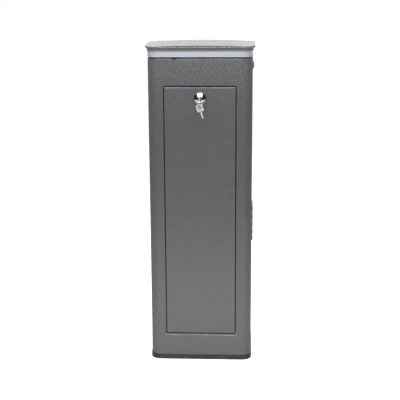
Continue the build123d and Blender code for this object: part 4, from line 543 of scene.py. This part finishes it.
spring_wire, tree, shader = new_finish("oiled_wire", rough=0.32, metal=1.0)
marks = grain(tree, 160, 4)
drawn_steel = two_tones(tree, marks, 0.3, 0.7, tone(70, 70, 73), tone(104, 104, 107))
browned = patches(tree, 60, 5, most=0.5, start=0.6, end=0.8)
coloured(tree, shader, layered(tree, browned, drawn_steel, tone(96, 84, 74)), span(tree, marks, 0.24, 0.42))
raised(tree, shader, marks, depth=0.0002, strength=0.2)
low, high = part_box("balance_springs")
spring_y = (low[1] + high[1]) / 2
coil_foot = low[2] + wire + 2 * loop_radius + coil_gap + wire
coil_head = high[2] - wire - 2 * loop_radius - coil_gap - wire
for side, label in ((-1, "left"), (1, "right")):
    spring_x = (low[0] + high[0]) / 2 + side * spread
    coil = bmesh.new()
    for end, toward in ((low[2] + wire, 1), (high[2] - wire, -1)):
        eye = (spring_x, spring_y, end + toward * loop_radius)
        ring = wire_section(coil, (spring_x, spring_y + loop_radius, eye[2]))
        bmesh.ops.spin(
            coil,
            geom=ring,
            cent=eye,
            axis=(1, 0, 0),
            angle=math.radians(-toward * loop_angle),
            steps=loop_steps,
        )
        neck_middle = end + toward * (2 * loop_radius - neck_lap + neck / 2)
        round_bar(coil, wire, neck, (spring_x, spring_y, neck_middle), wire_points)
    bmesh.ops.spin(
        coil,
        geom=wire_section(coil, (spring_x + coil_radius, spring_y, coil_foot), lean=90),
        cent=(spring_x, spring_y, 0),
        axis=(0, 0, 1),
        dvec=(0, 0, (coil_head - coil_foot) / (turns * turn_steps)),
        angle=math.radians(360 * turns),
        steps=turns * turn_steps,
    )
    for height in (coil_foot, coil_head):
        arm_middle = (spring_x + coil_radius / 2, spring_y, height)
        round_bar(coil, wire, coil_radius, arm_middle, wire_points, lean=90)
    bmesh.ops.holes_fill(coil, edges=[edge for edge in coil.edges if edge.is_boundary])
    bmesh.ops.recalc_face_normals(coil, faces=coil.faces)
    for face in coil.faces:
        face.smooth = True
    spring = placed("balance_spring_" + label, coil, spring_wire)
    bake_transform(spring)
    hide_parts("balance_springs")

# Stop pads: moulded rubber, one on each post, where the rocker comes to rest.
# The rubber is matt and greys where the rocker has struck it.
rubber, tree, shader = new_finish("black_rubber", rough=0.78)
moulded = grain(tree, 260, 4)
skin = two_tones(tree, moulded, 0.3, 0.7, tone(26, 26, 27), tone(38, 38, 39))
struck = patches(tree, 50, 5, most=0.5, start=0.55, end=0.85)
coloured(tree, shader, layered(tree, struck, skin, tone(70, 69, 67)))
raised(tree, shader, moulded, depth=0.0003, strength=0.3)
dress(["stop_pads"], rubber)

# Limit cam and its two sensors: a black nylon disc and threaded barrels on bent brackets.
# The barrels are brass, nickel plated, with the thread running round them.


def moulding(name, dark, light, rough, size):
    """A moulded plastic with its fine spark-eroded grain, 1 / size of a metre across."""
    finish, tree, shader = new_finish(name, rough)
    cloud = two_tones(tree, grain(tree, size / 8, 3), 0.3, 0.7, tone(*dark), tone(*light))
    gloss = span(tree, grain(tree, size / 3, 3), rough * 0.85, rough * 1.15)
    coloured(tree, shader, cloud, gloss)
    raised(tree, shader, grain(tree, size, 2), depth=0.0002, strength=0.3)
    return finish


nylon = moulding("black_nylon", (32, 32, 34), (44, 44, 47), 0.42, 900)
dress(["limit_cam"], nylon)
barrel, tree, shader = new_finish("threaded_barrel", rough=0.3, metal=1.0)
place = tree.nodes.new("ShaderNodeTexCoord")
thread = tree.nodes.new("ShaderNodeTexWave")
thread.bands_direction = "X"
thread.inputs["Scale"].default_value = 160
tree.links.new(place.outputs["Object"], thread.inputs["Vector"])
crests = two_tones(tree, thread.outputs["Fac"], 0.1, 0.9, tone(150, 142, 120), tone(214, 206, 182))
coloured(tree, shader, crests)
raised(tree, shader, thread.outputs["Fac"], depth=0.0008, strength=0.5)
dress(["sensors"], barrel)
dress(["sensor_brackets"], spangle)

# Control tray: a folded galvanised sheet across the uprights, with the rail screwed to it.
# The rail is rolled steel strip, zinc plated, that the terminals and breaker clip onto.
dress(["control_tray"], spangle)
dress(["terminal_rail"], zinc)

# Control box and its cover: moulded in pale grey with a lid held at the corners.
# The cable glands under it are turned from black nylon.
box_grey = moulding("pale_grey_moulding", (172, 174, 174), (188, 190, 189), 0.46, 700)
dress(["control_box", "box_cover"], box_grey)
dress(["cable_glands"], nylon)

# Terminals, breaker and toggle: rail-mounted mouldings in two greys, the toggle black.
# The toggle tips in its slot when the supply is switched off.
rail_grey = moulding("rail_grey_moulding", (146, 149, 150), (162, 165, 165), 0.5, 800)
breaker_white = moulding("breaker_moulding", (206, 207, 204), (220, 221, 218), 0.44, 700)
dress(["terminals"], rail_grey)
dress(["breaker"], breaker_white)
dress(["breaker_toggle"], nylon)

# Housing and door: folded 2 mm steel with a dark grey hammer-textured powder coat.
# The coat's fine lumps are raised as bumps, pale flecks painted in towards the top stand for glints of
# light from above, and handling leaves a few pale scuffs.
door_gap, front_depth, full_width = 0.0025, 0.014, 0.2
glint_foot, glint_head = 0.78, 0.96


def within(tree, source, middle, half):
    """1 where a number lies near its middle value, else 0."""
    near = tree.nodes.new("ShaderNodeMath")
    near.operation = "COMPARE"
    near.inputs[1].default_value = middle
    near.inputs[2].default_value = half
    tree.links.new(source, near.inputs[0])
    return near.outputs[0]


def edge_lines(tree, lines, front):
    """1 on level lines of the front: each its height, half its width, its middle, half its length."""
    place = tree.nodes.new("ShaderNodeTexCoord")
    parts = tree.nodes.new("ShaderNodeSeparateXYZ")
    tree.links.new(place.outputs["Object"], parts.inputs["Vector"])
    total = None
    for height, half_width, middle, half_length in lines:
        level = within(tree, parts.outputs["Z"], height, half_width)
        length = within(tree, parts.outputs["X"], middle, half_length)
        line = combined(tree, level, length, "MULTIPLY")
        total = line if total is None else combined(tree, total, line, "MAXIMUM")
    return combined(tree, total, within(tree, parts.outputs["Y"], front, front_depth), "MULTIPLY")


def hammered_coat(name, highlight_lines, shade_lines, front):
    """The grey coat, with pale lines of painted highlight on level edges, painted shade in gaps, and pale
    flecks painted in towards the top as glints of light from above.
    """
    coat, tree, shader = new_finish(name, rough=0.46)
    shader.inputs["Specular IOR Level"].default_value = 0.4
    lumps = grain(tree, 330, 2.5)
    base = two_tones(tree, lumps, 0.36, 0.72, tone(85, 84, 86), tone(92, 91, 93))
    # Painted glints: pale flecks of grain, faded in towards the top as if lit from above.
    bright = patches(tree, 370, 2, most=0.8, start=0.545, end=0.66)
    glints = combined(tree, bright, height_above_floor(tree, glint_foot, glint_head), "MULTIPLY")
    glinting = layered(tree, glints, base, tone(140, 140, 142))
    scuffs = patches(tree, 16, 6, most=0.22, start=0.66, end=0.78)
    scuffed = layered(tree, scuffs, glinting, tone(122, 122, 124))
    uneven = span(tree, grain(tree, 55, 3), 0.35, 1.0, 0.35, 0.6)
    # Painted highlight: pale broken lines along level edges.
    edge_highlight = combined(tree, edge_lines(tree, highlight_lines, front), uneven, "MULTIPLY")
    highlighted = layered(tree, edge_highlight, scuffed, tone(148, 148, 150))
    # Painted shade: dark lines in the gaps.
    gap_shaded = layered(tree, edge_lines(tree, shade_lines, front), highlighted, tone(24, 24, 25))
    coloured(tree, shader, gap_shaded, span(tree, lumps, 0.34, 0.56))
    both = tree.nodes.new("ShaderNodeMath")
    both.operation = "MULTIPLY_ADD"
    both.inputs[1].default_value = 0.3
    tree.links.new(grain(tree, 1300, 2), both.inputs[0])
    tree.links.new(lumps, both.inputs[2])
    raised(tree, shader, both.outputs[0], depth=0.0024, strength=0.9)
    return coat


housing_low, housing_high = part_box("housing")
door_low, door_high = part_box("door_panel")
top_edge, door_top, sill = housing_high[2], door_high[2], door_low[2] - door_gap
# Painted highlight lines along the opening's sill and just below the top edge.
sill_highlight = (sill - 0.0009, 0.0010, 0, 0.113)
top_edge_highlight = (top_edge - 0.0034, 0.0008, 0, 0.128)
# Painted shade in the gap under the light band and in the notch.
shadow_gap = (top_edge - 0.0007, 0.0010, 0, full_width)
notch_shade = (top_edge - 0.0017, 0.0019, -0.077, 0.0082)
housing_coat = hammered_coat("housing_coat", [sill_highlight, top_edge_highlight], [shadow_gap, notch_shade], housing_low[1])
dress(["housing"], housing_coat)
# Painted highlight along the door's top edge.
door_top_highlight = (door_top - 0.0031, 0.0014, 0, full_width)
# Painted shade in the groove above the door.
groove_shade = (door_top + 0.0020, 0.0034, 0, full_width)
door_coat = hammered_coat("door_coat", [door_top_highlight], [groove_shade], door_low[1])
dress(["door_panel"], door_coat)
dress(["door_stiffener"], spangle)

# Door seal: an extruded rubber ring glued to the lip of the opening.
# It shares the stop pads' rubber, and shows only when the door is off.
dress(["door_seal"], rubber)

# Plugs: a domed grommet cap high on the lane side and a small blanking plug in the corner.
# Both are pushed into punched holes and held by their own springy lips.
cap_grey = moulding("cap_grey", (110, 110, 113), (122, 122, 125), 0.4, 900)
plug_grey = moulding("plug_grey", (76, 75, 77), (84, 83, 85), 0.48, 900)
dress(["entry_plug"], cap_grey)
dress(["corner_plug"], plug_grey)

# Light frame and lamp boards: a black painted frame with a white board on each side.
# The frame is painted black, and its tone is made darker still as painted shade, so its recess gives the
# dark line that shows under the light band.
frame_shade_black = moulding("frame_shade_black", (17, 17, 19), (25, 25, 27), 0.6, 900)
dress(["light_frame"], frame_shade_black)
board = moulding("white_board", (222, 222, 216), (238, 238, 233), 0.3, 400)
dress(["led_boards"], board)

# Light band: an extruded ring of milky plastic, unlit, with faint ribs along it.
# It sits in the frame and scatters the white boards' light when they are on.
milk, tree, shader = new_finish("milky_diffuser", rough=0.36)
ribs = grain(tree, 5, 2.0, (0.2, 0.2, 40))
coloured(tree, shader, two_tones(tree, ribs, 0.3, 0.7, tone(167, 171, 180), tone(182, 186, 196)))
shader.inputs["Subsurface Weight"].default_value = 0.15
shader.inputs["Subsurface Radius"].default_value = (0.01, 0.01, 0.01)
raised(tree, shader, ribs, depth=0.0006, strength=0.4)
dress(["light_band"], milk)

# Lid: pressed aluminium under the same grey coat, laid smoother so that its crown shines.
# The rim is turned down over the band. A dark line of painted shade runs along the crease at the top of the
# rim's front, pale dashes of painted highlight run along its front lip, and the coat is lighter towards the
# ends.
crown_radius, rim_face_depth = 3.4, 0.0016
crease_drop, crease_half = 0.0108, 0.0006
lip_drop, lip_half = 0.0137, 0.0007
lighten_start, lighten_end = 0.008, 0.024
lid_coat, tree, shader = new_finish("lid_coat", rough=0.3)
lumps = grain(tree, 280, 2.5)
base = two_tones(tree, lumps, 0.25, 0.8, tone(106, 106, 109), tone(112, 112, 115))
lid_low, lid_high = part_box("lid")
worn = layered(tree, patches(tree, 20, 6, most=0.25, start=0.62, end=0.78), base, tone(124, 124, 126))
place = tree.nodes.new("ShaderNodeTexCoord")
parts = tree.nodes.new("ShaderNodeSeparateXYZ")
tree.links.new(place.outputs["Object"], parts.inputs["Vector"])
arch = combined(tree, parts.outputs["X"], parts.outputs["X"], "MULTIPLY")
level = tree.nodes.new("ShaderNodeMath")
level.operation = "MULTIPLY_ADD"
level.inputs[1].default_value = 1 / (2 * crown_radius)
tree.links.new(arch, level.inputs[0])
tree.links.new(parts.outputs["Z"], level.inputs[2])
rim_face = within(tree, parts.outputs["Y"], lid_low[1], rim_face_depth)
# Painted shade: a dark line along the crease at the top of the rim's front.
bent = within(tree, level.outputs[0], lid_high[2] - crease_drop, crease_half)
crease_shade = combined(tree, bent, rim_face, "MULTIPLY")
# Painted highlight: pale dashes along the rim's front lip.
turned_in = within(tree, parts.outputs["Z"], lid_high[2] - lip_drop, lip_half)
lip = combined(tree, turned_in, rim_face, "MULTIPLY")
lip_highlights = combined(tree, lip, patches(tree, 210, 2, most=1, start=0.45, end=0.60), "MULTIPLY")
# Lighter towards the ends of the lid.
lighter_ends = layered(tree, span(tree, arch, 0, 0.8, lighten_start, lighten_end), worn, tone(126, 126, 129))
shaded = layered(tree, crease_shade, lighter_ends, tone(66, 70, 74))
coloured(tree, shader, layered(tree, lip_highlights, shaded, tone(196, 196, 198)), span(tree, lumps, 0.26, 0.4))
raised(tree, shader, lumps, depth=0.0004, strength=0.15)
dress(["lid"], lid_coat)

# Lock: a turned brass dome, chromed and polished, screwed in through the door with its barrel.
# The plug in its middle is chromed too, and turns with the key.
bore, barrel_radius, rim_radius, ball_radius = 0.00755, 0.0110, 0.0205, 0.024
barrel_bevel, rim_seat, rim_bevel, mouth_bevel = 0.0005, 0.0003, 0.0004, 0.0004
skirt, shoulder = 0.0014, 0.0002
dome_steps, sharp_angle = 14, 35
chrome, tree, shader = new_finish("polished_chrome", rough=0.06, metal=1.0)
wiped = grain(tree, 120, 4)
shine = two_tones(tree, wiped, 0.3, 0.7, tone(214, 216, 220), tone(232, 234, 238))
coloured(tree, shader, shine, span(tree, wiped, 0.04, 0.10))
raised(tree, shader, grain(tree, 700, 2), depth=0.00002, strength=0.1)
low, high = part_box("lock_barrel")
lock_mid = ((low[0] + high[0]) / 2, (low[2] + high[2]) / 2)
door_face = door_low[1]
profile = [
    (bore, high[1]),
    (barrel_radius - barrel_bevel, high[1]),
    (barrel_radius, high[1] - barrel_bevel),
    (barrel_radius, door_face),
    (rim_radius - rim_seat, door_face),
    (rim_radius, door_face - rim_bevel),
    (rim_radius, door_face - skirt),
]
dome_foot, dome_mouth = rim_radius - shoulder, bore + mouth_bevel
for step in range(dome_steps + 1):
    radius = dome_foot - (dome_foot - dome_mouth) * step / dome_steps
    rise = math.sqrt(ball_radius**2 - radius**2) - math.sqrt(ball_radius**2 - rim_radius**2)
    profile.append((radius, door_face - skirt - shoulder - rise))
profile.append((bore, low[1] + mouth_bevel))
turned = bmesh.new()
last = turned.verts.new((lock_mid[0] + profile[0][0], profile[0][1], lock_mid[1]))
for radius, along in profile[1:] + profile[:1]:
    last = bmesh.ops.extrude_vert_indiv(turned, verts=[last])["verts"][0]
    last.co = (lock_mid[0] + radius, along, lock_mid[1])
bmesh.ops.spin(
    turned,
    geom=turned.verts[:] + turned.edges[:],
    cent=(lock_mid[0], 0, lock_mid[1]),
    axis=(0, 1, 0),
    angle=math.radians(360),
    steps=96,
    use_merge=True,
)
bmesh.ops.remove_doubles(turned, verts=turned.verts, dist=0.00001)
bmesh.ops.recalc_face_normals(turned, faces=turned.faces)
for face in turned.faces:
    face.smooth = True
for edge in turned.edges:
    if len(edge.link_faces) == 2 and edge.calc_face_angle() > math.radians(sharp_angle):
        edge.smooth = False
dome = placed("lock_dome", turned, chrome)
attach(dome, "door")
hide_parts("lock_barrel")
dress(["lock_plug"], chrome)
nickel, tree, shader = new_finish("warm_nickel", rough=0.3, metal=0.55)
brushed = grain(tree, 240, 4, (1, 5, 1))
plating = two_tones(tree, brushed, 0.3, 0.75, tone(214, 208, 194), tone(230, 225, 212))
worn = patches(tree, 140, 4, most=0.35, start=0.6, end=0.8)
coloured(tree, shader, layered(tree, worn, plating, tone(200, 190, 166)), span(tree, brushed, 0.20, 0.34))
raised(tree, shader, brushed, depth=0.00003, strength=0.2)
dress(["lock_nut"], nickel)
dress(["lock_cam"], zinc)

# Keys and ring: stamped nickel brass keys on a split ring, one key in the lock.
# The spare hangs from the ring and swings, and both bows are worn to a warm tone.
dress(["key", "key_ring", "spare_key"], nickel)

# Boom plate: laser-cut steel with the housing's coat, bolted to the hub's flange.
# The boom itself would be screwed to its row of holes.
dress(["boom_plate"], door_coat)
